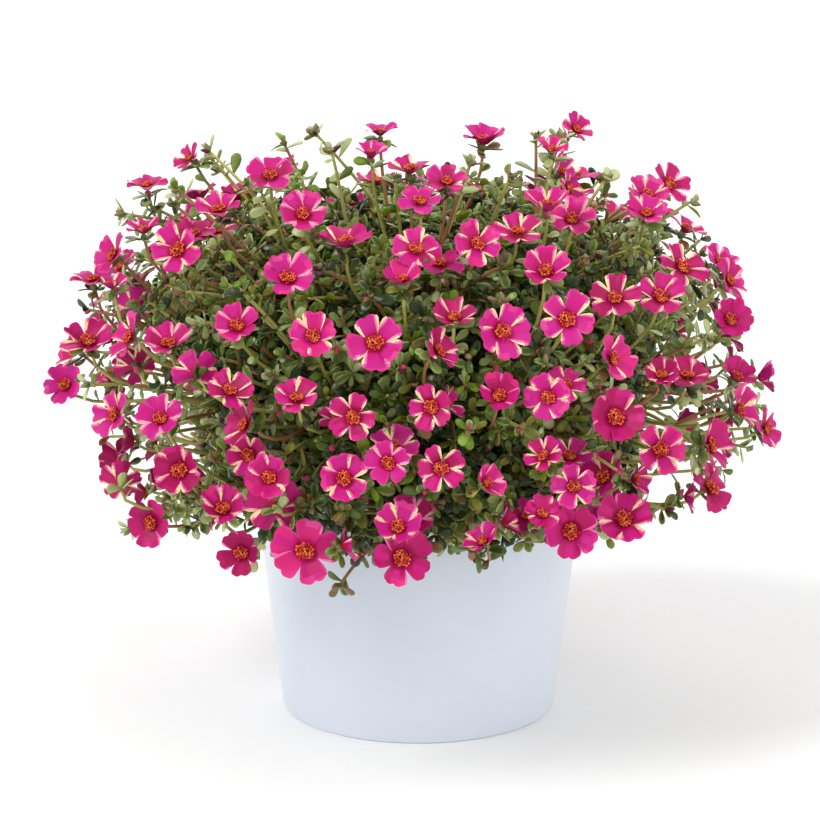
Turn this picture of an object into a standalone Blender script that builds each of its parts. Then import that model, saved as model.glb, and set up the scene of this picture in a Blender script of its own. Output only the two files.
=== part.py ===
"""Potted portulaca: a mound of fleshy stems, leaves and five-petalled flowers in a plain round pot.

Metres, +Z up. The origin is the middle of the pot's flat underside, and the side with the best
view faces -Y. A short stem base stands on the soil. Main stems fan out from it, and each ends at
a foliage mass that fills its own cone-shaped share of the crown.
"""

import math
import random
from typing import NamedTuple

import bmesh
import bpy
from mathutils import Matrix, Vector
from mathutils.bvhtree import BVHTree

GAP = 0.0003

# Pot: straight tapered side, flat underside
POT_HEIGHT = 0.158
POT_BASE_RADIUS = 0.0853
POT_TOP_RADIUS = 0.1045
POT_WALL = 0.0028
POT_FLOOR = 0.004
POT_EDGE = 0.0010
POT_SIDES = 48
ROUND_SHADING = math.radians(35)

# Soil and the short stem base that stands on it
SOIL_TOP = 0.140
TRUNK_RADIUS = 0.0105
TRUNK_FLARE = 0.0065
TRUNK_SIDES = 12
FLARE_STEPS = (0.0, 0.25, 0.55, 1.0)
DOME_STEPS = (30.0, 60.0)

# Crown: every share of it is a cone from FOCUS, out to one rounded envelope
FOCUS = Vector((0.0, 0.0, 0.168))
CROWN_MIDDLE = 0.190
CROWN_RADIUS = 0.222
CROWN_RISE = 0.182
CROWN_DROP = 0.085
CROWN_ROUNDNESS = 2.5
CELL_MARGIN = 0.0012
CELL_SPREAD = math.radians(30)
BOUGH_CLEARANCE = 0.003
RIM_CLEARANCE = 0.0035
HALVINGS = 24

# Stems: main boughs, one stem in each mass, and the shoots that leave it near its fork
BOUGH_SIDES = 5
BOUGH_SPANS = 4
BOUGH_RADIUS = 0.0024
BOUGH_TAPER = 0.70
BOUGH_BOW = 0.004
TWIG_SIDES = 3
STEM_STRAIGHT = 0.004
STEM_SPANS = 2
STEM_BEND = 0.4
FORK_SHARE = 0.60
SHOOT_ROOTS = (0.2, 0.95)
SHOOT_SPANS = 2
SHOOT_RADIUS = 0.0015
SHOOT_TAPER = 0.75
SHOOT_BOW = 0.006
TIP_REACH = (0.94, 1.02)

# Colours
POT_WHITE = (0.72, 0.77, 0.84)
SOIL_BROWN = (0.035, 0.024, 0.017)
OLD_STEM = (0.16, 0.13, 0.06)
GREEN_STEM = (0.30, 0.32, 0.10)
FOLIAGE_GREEN = (0.12, 0.24, 0.07)

# Leaves and flowers
LEAF_LENGTH = 0.035
LEAF_WIDTH = 0.021
LEAF_THICKNESS = 0.0024
LEAF_WIDEST = 0.60
LEAF_LEAN = (38.0, 66.0)
LEAF_PAST_TIP = 0.6
FLOWER_RADIUS = 0.0185
FLOWER_NOTCH = 0.0105
FLOWER_DISH = 0.0035
FLOWER_BOSS = 0.0010
FLOWER_CUP = 0.0050
PETALS = 5
PETAL_HALF_ANGLE = math.radians(23)
FLOWER_SPACING = 0.037
FLOWERS_FACE_UP = 0.32
FLOWERS_FACE_FRONT = 0.35
FRONT_ENDS = 0.4
FLOWER_NOD = 0.35
LEAF_TURN = math.radians(137.5)
LEAF_TRIES = 40
SHOOT_TRIES = 300


class Ring(NamedTuple):
    """A ring of equal foliage masses round the crown."""

    name: str
    masses: int
    elevation: float
    first_azimuth: float
    inner_reach: float
    core: float
    flowers: int
    leafy_shoots: int


class Whorl(NamedTuple):
    """Leaves set round a shoot between two shares of its length."""

    leaves: int
    first: float
    last: float
    past_tip: float


FLOWER_WHORL = Whorl(2, 0.50, 0.80, -0.001)
LEAFY_WHORL = Whorl(4, 0.70, 0.98, LEAF_LENGTH)

RINGS = (
    Ring("top", 1, 90.0, 0.0, 0.075, 0.80, 5, 2),
    Ring("upper", 6, 51.0, -90.0, 0.070, 0.80, 6, 2),
    Ring("middle", 8, 19.0, -112.5, 0.060, 0.76, 6, 2),
    Ring("low", 8, -9.0, -90.0, 0.112, 0.74, 5, 1),
)
AZIMUTH_JITTER = 4.0
ELEVATION_JITTER = 2.0


class Cell(NamedTuple):
    """One mass's share of the crown: the directions that are nearest to its own."""

    name: str
    ring: Ring
    direction: Vector


def clear_scene():
    for thing in list(bpy.data.objects):
        bpy.data.objects.remove(thing, do_unlink=True)


def material(name, colour, roughness):
    made = bpy.data.materials.new(name)
    made.use_nodes = True
    shader = made.node_tree.nodes["Principled BSDF"]
    shader.inputs["Base Color"].default_value = (*colour, 1.0)
    shader.inputs["Roughness"].default_value = roughness
    shader.inputs["Metallic"].default_value = 0.0
    return made


def add_object(name, mesh, look):
    made = bpy.data.objects.new(name, mesh)
    made.data.materials.clear()
    made.data.materials.append(look)
    bpy.context.scene.collection.objects.link(made)
    return made


def mesh_from(name, points, faces):
    mesh = bpy.data.meshes.new(name)
    mesh.from_pydata([tuple(point) for point in points], [], faces)
    shape = bmesh.new()
    shape.from_mesh(mesh)
    bmesh.ops.recalc_face_normals(shape, faces=shape.faces)
    shape.to_mesh(mesh)
    shape.free()
    return mesh


def turned_mesh(name, profile, sides):
    """Spin a profile of (radius, height) points, whose ends lie on the axis, round +Z."""
    shape = bmesh.new()
    points = [shape.verts.new((radius, 0.0, height)) for radius, height in profile]
    edges = [shape.edges.new(pair) for pair in zip(points, points[1:])]
    bmesh.ops.spin(
        shape,
        geom=points + edges,
        cent=(0.0, 0.0, 0.0),
        axis=(0.0, 0.0, 1.0),
        angle=2.0 * math.pi,
        steps=sides,
    )
    bmesh.ops.remove_doubles(shape, verts=shape.verts, dist=1e-6)
    bmesh.ops.recalc_face_normals(shape, faces=shape.faces)
    mesh = bpy.data.meshes.new(name)
    shape.to_mesh(mesh)
    shape.free()
    return mesh


def pot_radius(height):
    """Outer radius of the pot's straight side at a height."""
    return POT_BASE_RADIUS + (POT_TOP_RADIUS - POT_BASE_RADIUS) * height / POT_HEIGHT


def build_pot():
    floor_radius = pot_radius(POT_FLOOR) - POT_WALL
    profile = (
        (0.0, 0.0),
        (POT_BASE_RADIUS - POT_EDGE, 0.0),
        (pot_radius(POT_EDGE), POT_EDGE),
        (pot_radius(POT_HEIGHT - POT_EDGE), POT_HEIGHT - POT_EDGE),
        (POT_TOP_RADIUS - POT_EDGE, POT_HEIGHT),
        (POT_TOP_RADIUS - POT_WALL, POT_HEIGHT),
        (floor_radius, POT_FLOOR),
        (0.0, POT_FLOOR),
    )
    mesh = turned_mesh("pot", profile, POT_SIDES)
    mesh.shade_smooth()
    mesh.set_sharp_from_angle(angle=ROUND_SHADING)
    return add_object("pot", mesh, material("white_pot", POT_WHITE, 0.35))


def build_soil():
    bottom = POT_FLOOR + GAP
    inset = POT_WALL + 2.0 * GAP
    profile = (
        (0.0, bottom),
        (pot_radius(bottom) - inset, bottom),
        (pot_radius(SOIL_TOP) - inset, SOIL_TOP),
        (0.0, SOIL_TOP),
    )
    mesh = turned_mesh("soil", profile, POT_SIDES)
    return add_object("soil", mesh, material("dark_soil", SOIL_BROWN, 0.95))


def build_trunk():
    """The stem base: flat cut on the soil, a flare, and a domed head round FOCUS."""
    foot = SOIL_TOP + GAP
    neck = FOCUS.z
    profile = [(0.0, foot)]
    for share in FLARE_STEPS:
        flare = TRUNK_FLARE * (1.0 - share) ** 2
        profile.append((TRUNK_RADIUS + flare, foot + (neck - foot) * share))
    for degrees in DOME_STEPS:
        angle = math.radians(degrees)
        profile.append((TRUNK_RADIUS * math.cos(angle), neck + TRUNK_RADIUS * math.sin(angle)))
    profile.append((0.0, neck + TRUNK_RADIUS))
    mesh = turned_mesh("trunk", profile, TRUNK_SIDES)
    mesh.shade_smooth()
    return add_object("trunk", mesh, material("old_stem", OLD_STEM, 0.8))


def heading(azimuth, elevation):
    """Unit vector from an azimuth (from +X towards +Y) and an elevation, in degrees."""
    turn = math.radians(azimuth)
    rise = math.radians(elevation)
    return Vector((math.cos(turn) * math.cos(rise), math.sin(turn) * math.cos(rise), math.sin(rise)))


def crown_cells():
    cells = []
    for ring in RINGS:
        chance = random.Random(f"cells {ring.name}")
        for number in range(ring.masses):
            azimuth = ring.first_azimuth + 360.0 * number / ring.masses
            azimuth += chance.uniform(-AZIMUTH_JITTER, AZIMUTH_JITTER)
            elevation = ring.elevation
            if ring.masses > 1:
                elevation += chance.uniform(-ELEVATION_JITTER, ELEVATION_JITTER)
            name = ring.name if ring.masses == 1 else f"{ring.name}_{number + 1}"
            cells.append(Cell(name, ring, heading(azimuth, elevation)))
    return cells


def crown_depth(point):
    """0 at the crown's middle, 1 on its envelope."""
    across = math.hypot(point.x, point.y) / CROWN_RADIUS
    height = point.z - CROWN_MIDDLE
    along = abs(height) / (CROWN_RISE if height > 0.0 else CROWN_DROP)
    return (across**CROWN_ROUNDNESS + along**CROWN_ROUNDNESS) ** (1.0 / CROWN_ROUNDNESS)


def reach(direction):
    """Distance from FOCUS to the crown's envelope, by halving."""
    near, far = 0.0, 2.0 * CROWN_RADIUS
    for _ in range(HALVINGS):
        middle = (near + far) / 2.0
        if crown_depth(FOCUS + direction * middle) < 1.0:
            near = middle
        else:
            far = middle
    return near


def room_in_cell(point, cell, cells):
    """How far a point lies inside the flat faces between a cell and its neighbours."""
    offset = point - FOCUS
    others = (other.direction for other in cells if other is not cell)
    return min(offset.dot((cell.direction - other).normalized()) for other in others)


def clears_pot(point):
    across = math.hypot(point.x, point.y)
    return across > POT_TOP_RADIUS + RIM_CLEARANCE or point.z > POT_HEIGHT + RIM_CLEARANCE


def fits(points, cell, cells):
    """Whether a shape keeps to its cell, off its own bough and off the pot."""
    for point in points:
        if (point - FOCUS).length < cell.ring.inner_reach + BOUGH_CLEARANCE:
            return False
        if room_in_cell(point, cell, cells) < CELL_MARGIN or not clears_pot(point):
            return False
    return True


def curve_points(start, bend, end, spans):
    """Points along a quadratic curve."""
    points = []
    for step in range(spans + 1):
        share = step / spans
        points.append(start.lerp(bend, share).lerp(bend.lerp(end, share), share))
    return points


def tube(points, first_radius, last_radius, sides):
    """A closed tapering tube: its ring corners and faces."""
    corners = []
    normal = (points[1] - points[0]).orthogonal().normalized()
    last = len(points) - 1
    for index, point in enumerate(points):
        tangent = (points[min(index + 1, last)] - points[max(index - 1, 0)]).normalized()
        normal = (normal - tangent * normal.dot(tangent)).normalized()
        side = tangent.cross(normal)
        radius = first_radius + (last_radius - first_radius) * index / last
        for corner in range(sides):
            angle = 2.0 * math.pi * corner / sides
            corners.append(point + (normal * math.cos(angle) + side * math.sin(angle)) * radius)
    faces = [list(range(sides)), list(range(last * sides, (last + 1) * sides))]
    for ring in range(last):
        for corner in range(sides):
            following = (corner + 1) % sides
            low, high = ring * sides, (ring + 1) * sides
            faces.append([low + corner, low + following, high + following, high + corner])
    return corners, faces


def leaf(root, along, facing):
    """A fleshy leaf of eight faces, widest past its middle."""
    along = along.normalized()
    across = along.cross(facing).normalized()
    upward = across.cross(along)
    middle = root + along * LEAF_LENGTH * LEAF_WIDEST
    corners = [
        root,
        root + along * LEAF_LENGTH,
        middle + across * LEAF_WIDTH / 2.0,
        middle - across * LEAF_WIDTH / 2.0,
        middle + upward * LEAF_THICKNESS / 2.0,
        middle - upward * LEAF_THICKNESS / 2.0,
    ]
    faces = []
    for end in (0, 1):
        for side in (2, 3):
            for face in (4, 5):
                faces.append([end, side, face])
    return corners, faces


def flower_rim(middle, facing, first, turn):
    """Corners of five broad petals and the notches between them, with their angles from first."""
    second = facing.cross(first)
    petal_angle = 2.0 * math.pi / PETALS
    corners = []
    angles = []
    for petal in range(PETALS):
        for offset, radius in (
            (-PETAL_HALF_ANGLE, FLOWER_RADIUS),
            (PETAL_HALF_ANGLE, FLOWER_RADIUS),
            (petal_angle / 2.0, FLOWER_NOTCH),
        ):
            angle = petal_angle * petal + offset
            spoke = first * math.cos(angle + turn) + second * math.sin(angle + turn)
            corners.append(middle + spoke * radius + facing * FLOWER_DISH * radius / FLOWER_RADIUS)
            angles.append(angle)
    return corners, angles


def flowering_shoot(points, facing, turn):
    """A shoot that opens out into a dished flower at its end, as one closed body."""
    corners, faces = tube(points, SHOOT_RADIUS, SHOOT_RADIUS * SHOOT_TAPER, TWIG_SIDES)
    end_cap = faces.pop(1)
    middle = points[-1] + facing * FLOWER_CUP
    first = corners[end_cap[0]] - points[-1]
    first = (first - facing * first.dot(facing)).normalized()
    rim, angles = flower_rim(middle, facing, first, turn)
    start = len(corners)
    boss = start + len(rim)
    corners = corners + rim + [middle + facing * FLOWER_BOSS]
    nearest = [end_cap[round(angle * TWIG_SIDES / (2.0 * math.pi)) % TWIG_SIDES] for angle in angles]
    for index in range(len(rim)):
        following = (index + 1) % len(rim)
        faces.append([boss, start + index, start + following])
        faces.append([nearest[index], start + following, start + index])
        if nearest[index] != nearest[following]:
            faces.append([nearest[index], nearest[following], start + following])
    return corners, faces


def core(cell, cells):
    """The dense inside of a mass: a ball pressed out into the cell's own space."""
    outer = reach(cell.direction) * cell.ring.core
    middle = FOCUS + cell.direction * (cell.ring.inner_reach + outer) / 2.0
    shape = bmesh.new()
    bmesh.ops.create_icosphere(shape, subdivisions=1, radius=1.0)
    for corner in shape.verts:
        spoke = corner.co.normalized()
        near, far = 0.0, outer
        for _ in range(HALVINGS):
            tried = (near + far) / 2.0
            place = middle + spoke * tried
            if fits([place], cell, cells) and (place - FOCUS).length < outer:
                near = tried
            else:
                far = tried
        corner.co = middle + spoke * near
    corners = [corner.co.copy() for corner in shape.verts]
    faces = [[corner.index for corner in face.verts] for face in shape.faces]
    shape.free()
    return corners, faces


def flower_heading(outward):
    """Flowers look outward and up to the light, and those at the front a little more to the front."""
    front = max(0.0, FRONT_ENDS - outward.y)
    return (outward + Vector((0.0, -FLOWERS_FACE_FRONT * front, FLOWERS_FACE_UP))).normalized()


def random_direction(cell, chance):
    """A direction somewhere round a cell's own."""
    side = cell.direction.orthogonal().normalized()
    swing = Matrix.Rotation(chance.uniform(0.0, 2.0 * math.pi), 3, cell.direction)
    tilt = Matrix.Rotation(CELL_SPREAD * math.sqrt(chance.random()), 3, swing @ side)
    return tilt @ cell.direction


def spread_out(found, count):
    """Choose shoots whose tips lie as far apart as they can."""
    chosen = found[:1]
    while found and len(chosen) < count:
        gaps = [min((shoot[-1] - other[-1]).length for other, _ in chosen) for shoot, _ in found]
        if max(gaps) < FLOWER_SPACING:
            break
        chosen.append(found[gaps.index(max(gaps))])
    return chosen


def flowering_shoots(cell, cells, chance, stem):
    """Shoots from the stem's end, each to a flower of its own, spread out and inside the cell."""
    found = []
    for _ in range(SHOOT_TRIES):
        outward = random_direction(cell, chance)
        facing = flower_heading(outward)
        tip = FOCUS + outward * reach(outward) * chance.uniform(*TIP_REACH) - facing * FLOWER_CUP
        root = stem[-2].lerp(stem[-1], chance.uniform(*SHOOT_ROOTS))
        bend = tip - facing * (tip - root).length * FLOWER_NOD
        shoot = curve_points(root, bend, tip, SHOOT_SPANS)
        piece = flowering_shoot(shoot, facing, chance.uniform(-math.pi, math.pi) / PETALS)
        if fits(piece[0], cell, cells):
            found.append((shoot, piece))
    return spread_out(found, cell.ring.flowers)


def leafy_shoots(cell, cells, chance, stem, flowering):
    """Shoots that end in leaves, in the places farthest from the flowers."""
    found = []
    for _ in range(SHOOT_TRIES):
        outward = random_direction(cell, chance)
        root = stem[-2].lerp(stem[-1], chance.uniform(*SHOOT_ROOTS))
        tip = FOCUS + outward * (reach(outward) - LEAF_LENGTH * LEAF_PAST_TIP)
        bend = root.lerp(tip, 0.5) + Vector((0.0, 0.0, SHOOT_BOW))
        shoot = curve_points(root, bend, tip, SHOOT_SPANS)
        piece = tube(shoot, SHOOT_RADIUS, SHOOT_RADIUS * SHOOT_TAPER, TWIG_SIDES)
        outer_half = tube(shoot[1:], SHOOT_RADIUS, SHOOT_RADIUS, TWIG_SIDES)
        if fits(piece[0], cell, cells) and not touches(outer_half, [other for _, other in flowering]):
            found.append((shoot, piece))
    return spread_out(found, cell.ring.leafy_shoots)


def touches(piece, others):
    """Whether a piece's surface meets another piece's."""
    surface = BVHTree.FromPolygons(*piece)
    return any(surface.overlap(BVHTree.FromPolygons(*other)) for other in others)


def leaf_whorl(shoot, whorl, cell, cells, chance, others):
    """Leaves set round a shoot, each turned on until it fits and touches no other piece."""
    leaves = []
    tangent = (shoot[-1] - shoot[0]).normalized()
    ending = (shoot[-1] - shoot[-2]).normalized()
    side = tangent.orthogonal().normalized()
    turn = chance.uniform(0.0, 2.0 * math.pi)
    for number in range(whorl.leaves):
        share = whorl.first + (whorl.last - whorl.first) * number / (whorl.leaves - 1)
        place = share * (len(shoot) - 1)
        index = min(int(place), len(shoot) - 2)
        root = shoot[index].lerp(shoot[index + 1], place - index)
        for _ in range(LEAF_TRIES):
            turn += LEAF_TURN
            away = Matrix.Rotation(turn, 3, tangent) @ side
            lean = math.radians(chance.uniform(*LEAF_LEAN))
            along = tangent * math.cos(lean) + away * math.sin(lean)
            facing = tangent * math.sin(lean) - away * math.cos(lean)
            piece = leaf(root, along, facing)
            if max((corner - shoot[-1]).dot(ending) for corner in piece[0]) > whorl.past_tip:
                continue
            if fits(piece[0][1:], cell, cells) and not touches(piece, others + leaves):
                leaves.append(piece)
                break
    return leaves


def bough_route(cell):
    """Main stem from the stem base to where it enters its mass; the low ones arch over the rim."""
    end = FOCUS + cell.direction * cell.ring.inner_reach
    if cell.ring.name == "low":
        across = Vector((cell.direction.x, cell.direction.y, 0.0)).normalized()
        end = across * cell.ring.inner_reach
        end.z = POT_HEIGHT + RIM_CLEARANCE + 2.0 * BOUGH_RADIUS
    toward = (end - FOCUS).normalized()
    start = FOCUS + toward * (TRUNK_RADIUS + GAP)
    bend = start.lerp(end, 0.5) + Vector((0.0, 0.0, BOUGH_BOW))
    return curve_points(start, bend, end, BOUGH_SPANS)


def build_bough(cell, look):
    points = bough_route(cell)
    corners, faces = tube(points, BOUGH_RADIUS, BOUGH_RADIUS * BOUGH_TAPER, BOUGH_SIDES)
    name = f"bough_{cell.name}"
    mesh = mesh_from(name, corners, faces)
    mesh.shade_smooth()
    return add_object(name, mesh, look)


def mass_pieces(cell, cells):
    """Every piece of one mass, its stem first: stem, core, shoots, flowers and leaves."""
    chance = random.Random(f"mass {cell.name}")
    bough = bough_route(cell)
    entry = (bough[-1] - bough[-2]).normalized()
    start = bough[-1] + entry * GAP
    straight = start + entry * STEM_STRAIGHT
    fork = FOCUS + cell.direction * reach(cell.direction) * FORK_SHARE
    stem_radius = BOUGH_RADIUS * BOUGH_TAPER
    bend = straight + entry * (fork - straight).length * STEM_BEND
    stem = [start] + curve_points(straight, bend, fork, STEM_SPANS)
    flowering = flowering_shoots(cell, cells, chance, stem)
    leafy = leafy_shoots(cell, cells, chance, stem, flowering)
    whorled = [(*found, FLOWER_WHORL) for found in flowering] + [(*found, LEAFY_WHORL) for found in leafy]
    leaves = []
    for shoot, piece, whorl in whorled:
        others = leaves + [other for _, other, _ in whorled if other is not piece]
        leaves += leaf_whorl(shoot, whorl, cell, cells, chance, others)
    shoots = [piece for _, piece, _ in whorled]
    return [tube(stem, stem_radius, SHOOT_RADIUS, TWIG_SIDES), core(cell, cells), *shoots, *leaves]


def keep_main_body(mesh):
    """Drop loose scraps and sealed hollows, which are all bodies but the largest."""
    shape = bmesh.new()
    shape.from_mesh(mesh)
    unseen = set(shape.verts)
    bodies = []
    while unseen:
        queue = [unseen.pop()]
        body = list(queue)
        while queue:
            corner = queue.pop()
            for edge in corner.link_edges:
                other = edge.other_vert(corner)
                if other in unseen:
                    unseen.remove(other)
                    queue.append(other)
                    body.append(other)
        bodies.append(body)
    bodies.sort(key=len)
    for body in bodies[:-1]:
        bmesh.ops.delete(shape, geom=body, context="VERTS")
    bmesh.ops.triangulate(shape, faces=shape.faces)
    shape.to_mesh(mesh)
    shape.free()


def fuse(name, pieces, look):
    """Join the pieces into one body by one Boolean union on a collection."""
    group = bpy.data.collections.new(f"{name} pieces")
    bpy.context.scene.collection.children.link(group)
    for number, (corners, faces) in enumerate(pieces[1:]):
        piece = bpy.data.objects.new(f"{name} piece {number}", mesh_from(name, corners, faces))
        group.objects.link(piece)
    joined = add_object(name, mesh_from(name, *pieces[0]), look)
    union = joined.modifiers.new("Fuse", "BOOLEAN")
    union.operation = "UNION"
    union.solver = "EXACT"
    union.operand_type = "COLLECTION"
    union.collection = group
    bpy.context.view_layer.objects.active = joined
    bpy.ops.object.modifier_apply(modifier=union.name)
    for piece in list(group.objects):
        bpy.data.objects.remove(piece, do_unlink=True)
    bpy.data.collections.remove(group)
    keep_main_body(joined.data)
    return joined


def main():
    clear_scene()
    build_pot()
    build_soil()
    build_trunk()
    cells = crown_cells()
    for cell in cells:
        build_bough(cell, material(f"stem_{cell.name}", GREEN_STEM, 0.6))
    for cell in cells:
        look = material(f"foliage_{cell.name}", FOLIAGE_GREEN, 0.6)
        fuse(f"foliage_{cell.name}", mass_pieces(cell, cells), look)


main()
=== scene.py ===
import math
import random
from typing import NamedTuple

import bmesh
import bpy
import numpy as np
from mathutils import Matrix, Vector


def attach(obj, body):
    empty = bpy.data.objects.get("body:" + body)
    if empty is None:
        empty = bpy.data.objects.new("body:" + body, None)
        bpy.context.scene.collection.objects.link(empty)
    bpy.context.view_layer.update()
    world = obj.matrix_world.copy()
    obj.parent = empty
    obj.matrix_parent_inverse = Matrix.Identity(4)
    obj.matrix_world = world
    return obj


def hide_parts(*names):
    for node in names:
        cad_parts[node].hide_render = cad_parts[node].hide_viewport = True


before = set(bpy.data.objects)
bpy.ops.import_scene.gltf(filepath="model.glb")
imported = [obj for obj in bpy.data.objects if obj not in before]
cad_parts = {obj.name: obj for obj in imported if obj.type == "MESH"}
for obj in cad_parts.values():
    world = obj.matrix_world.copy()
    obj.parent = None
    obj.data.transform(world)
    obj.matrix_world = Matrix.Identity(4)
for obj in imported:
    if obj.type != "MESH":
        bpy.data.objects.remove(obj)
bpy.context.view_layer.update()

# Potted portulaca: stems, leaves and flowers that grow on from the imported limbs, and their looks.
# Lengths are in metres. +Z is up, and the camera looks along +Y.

# What pieces that touch keep between them, and how near to a plane its points lie
GAP = 0.0003
TOUCHING = 1e-7
LEVEL = 1e-5
FULL_TURN = 2.0 * math.pi
# Edges that turn by less are shaded smooth, and a heading that rises by more counts as steep
SMOOTH_ANGLE = math.radians(60)
STEEP = 0.9

# Floor and light: a sun is (name, azimuth, elevation, spread in degrees, strength)
FLOOR_RADIUS = 9.0
FLOOR_SIDES = 96
FLOOR_WHITE = (0.93, 0.93, 0.93)
# How the floor's rim curves up into a low round backdrop: (widening, rise)
BACKDROP_STEPS = ((0.5, 0.05), (0.4, 0.2), (0.25, 0.4), (0.05, 0.6), (0.0, 1.8))
SUNS = (
    ("key", -145.0, 46.0, 30.0, 1.88),
    ("fill", -35.0, 38.0, 60.0, 1.40),
    ("back", 90.0, 42.0, 60.0, 0.95),
)
SKY_STRENGTH = 0.46

# Materials: how noise is read, and how glazed and waxy coats shine
GRAIN_DETAIL = 3.0
GRAIN_RANGE = (0.3, 0.7)
MOTTLE_DETAIL = 5.0
MOTTLE_RANGE = (0.35, 0.65)
GLAZE_COAT = (0.5, 0.3)
WAX_COAT = (0.30, 0.22)
LEAF_SPECULAR = 0.35
PETAL_SPECULAR = 0.2
# A faint glow in the petals' own colour: painted glow that stands in for light coming through them
PAINTED_PETAL_GLOW = 0.06

# Camera, and the picture that the pixels below are read from
CAMERA_PLACE = Vector((-0.0054, -2.15, 0.728))
CAMERA_PITCH = math.radians(14.08)
CAMERA_VIEW = math.radians(13.1)
PICTURE_SIZE = 820
# The camera's azimuth as seen from the pot, and how far from it the crown's points may lie
CAMERA_AZIMUTH = -90.0
SIGHT_RANGE = (1.7, 2.6)

# Pot and soil
POT_HEIGHT = 0.158
POT_BASE_RADIUS = 0.0853
POT_TOP_RADIUS = 0.1045
POT_WALL = 0.0028
POT_FLOOR = 0.004
POT_EDGE = 0.0012
POT_EDGE_STEPS = 4
POT_EDGE_ANGLE = math.radians(40)
POT_SMOOTH_ANGLE = math.radians(35)
POT_SIDES = 160
SOIL_TOP = 0.140
SOIL_SIDES = 72
SOIL_RINGS = 9
LUMP_SIZE = 0.012
LUMP_HEIGHT = 0.006
LUMP_LEVEL = 0.75

# Stem base
TRUNK_RADIUS = 0.0105
TRUNK_FLARE = 0.0065
TRUNK_SIDES = 40
TRUNK_RINGS = 26
DOME_RINGS = 6
RIDGE_SIZE = 0.0022
RIDGE_DEPTH = 2
RIDGE_HEIGHT = 0.0009
RIDGE_LEVEL = 0.5

# Crown: every share of it is a cone from FOCUS, out to one rounded envelope
FOCUS = Vector((0.0, 0.0, 0.168))
CROWN_MIDDLE = 0.190
CROWN_RADIUS = 0.222
CROWN_RISE = 0.182
CROWN_DROP = 0.085
CROWN_ROUNDNESS = 2.5
RIM_CLEARANCE = 0.0035
HALVINGS = 24
LOWEST_RISE = -0.40
# A place outside the crown's edge is drawn in by steps
DRAWING_STEPS = 6
DRAWING_SHARE = 0.95

# Boughs, and the stems that grow on from them
BOUGH_RADIUS = 0.0024
BOUGH_TAPER = 0.70
BOUGH_BOW = 0.004
BOUGH_SPANS = 20
BOUGH_ROUNDNESS = 4
STEM_STRAIGHT = 0.004
STEM_BEND = 0.4
FORK_SHARE = 0.60
LIMB_SHARE = 0.64
LIMB_ROOTS = (0.35, 1.0)
LIMB_RADIUS = 0.0015
TIPS_ON_A_LIMB = 6
FEWEST_LIMBS = 3
SHOOT_ROOTS = (0.35, 1.0)
SHOOT_RADIUS = 0.00125
SHOOT_TIP_RADIUS = 0.0010
SHOOT_SPANS = 5
ROUTE_END = 0.9999
STEM_SIDES = 6
SHOOT_SIDES = 5
BLOOM_NOD = 0.22
BLOOM_SAG = 0.16
BLOOM_STALK = 0.004
SPRAY_BOW = 0.006

# Leaves stand in a canopy, which lies deeper at the plant's two open sides and at its top
CANOPY_DEPTH = 0.84
CANOPY_UNEVEN = (0.92, 1.04)
SIDE_OPENING = 0.27
TOP_OPENING = 0.14
OPENING_POWER = 2.5
OPEN_BELOW = 0.55
OPEN_FADE = 0.25
SIDE_THINNING = 1.2
LOW_THINNING = 0.75
LOW_SIDE_THINNING = 0.5
HANGING_BELOW = -0.08
HANGING_FADE = 0.2
LEAFY_TRIES = 9000
CANOPY_SPACING = 0.0142
CANOPY_TO_BLOOM = 0.010
SPRAY_SIZES = (0.85, 1.15)
INNER_SPACING = 0.0205
INNER_DEPTH = (0.40, 0.86)
INNER_SIZES = (0.9, 1.2)

# Shoots that stand out of the canopy
PROUD_TRIES = 3000
PROUD_SPACING = 0.030
PROUD_DEPTH = (0.86, 0.97)
PROUD_CEILING = 0.72
PROUD_TO_BLOOM = 0.018
PROUD_SIZES = (0.8, 1.05)
BUDDED_DEPTH = 0.98
LEAFY_DEPTH = 0.90

# Where paler leaves, painted light, are frequent: by height, and at the right and the left
LIT_HEIGHT = (0.303, 0.340)
LIT_TOP = 0.95
LIT_RIGHT = 0.90
LIT_LEFT = 0.75

# How the leaves of a shoot differ: spreads in radians or degrees, and ranges as shares
LEAF_TURN = math.radians(137.5)
LEAF_TURN_SPREAD = 0.25
LEAF_LEAN_SPREAD = 9.0
LEAF_ROLL_SPREAD = 0.5
LEAF_LENGTHS = (0.76, 1.08)
LEAF_WIDTHS = (0.45, 0.60)
LEAF_BENDS = (-0.15, 0.7)
LEAST_BEND = 0.02
LEAF_FOLD = 0.18
LEAF_MARGIN = 0.1

# Leaves along each kind of shoot: (distance back from its end, lean from the stem in degrees, length)
SHOOT_LEAVES = {
    "spray": (
        (0.0, 24.0, 0.0070), (0.0, 34.0, 0.0080), (0.0, 48.0, 0.0100), (0.002, 60.0, 0.0100),
        (0.003, 66.0, 0.0108), (0.0045, 72.0, 0.0115), (0.006, 76.0, 0.0118), (0.009, 78.0, 0.0122),
        (0.013, 74.0, 0.0124), (0.019, 68.0, 0.0126),
    ),
    "inner": tuple(
        (back, 68.0, 0.0155) for back in (0.0, 0.002, 0.004, 0.006, 0.009, 0.012, 0.016, 0.020, 0.025)
    ),
    "budded": (
        (0.0, 30.0, 0.008), (0.0, 44.0, 0.010), (0.0, 56.0, 0.012), (0.003, 60.0, 0.013),
        (0.006, 62.0, 0.013), (0.022, 54.0, 0.014), (0.036, 50.0, 0.014),
    ),
}
# Under a bloom: a collar of leaves, and single ones down its stalk, fewer at the open sides
COLLAR_LEAVES = 6
COLLAR_BACK = (0.001, 0.006)
COLLAR_LEAN = 74.0
COLLAR_LENGTH = 0.0125
STALK_BACK = (0.020, 0.029, 0.038, 0.047)
STALK_LEAN = 58.0
STALK_LENGTH = 0.0105
BARE_SHARE = 0.35
BARE_AT_SIDES = 0.6

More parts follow.
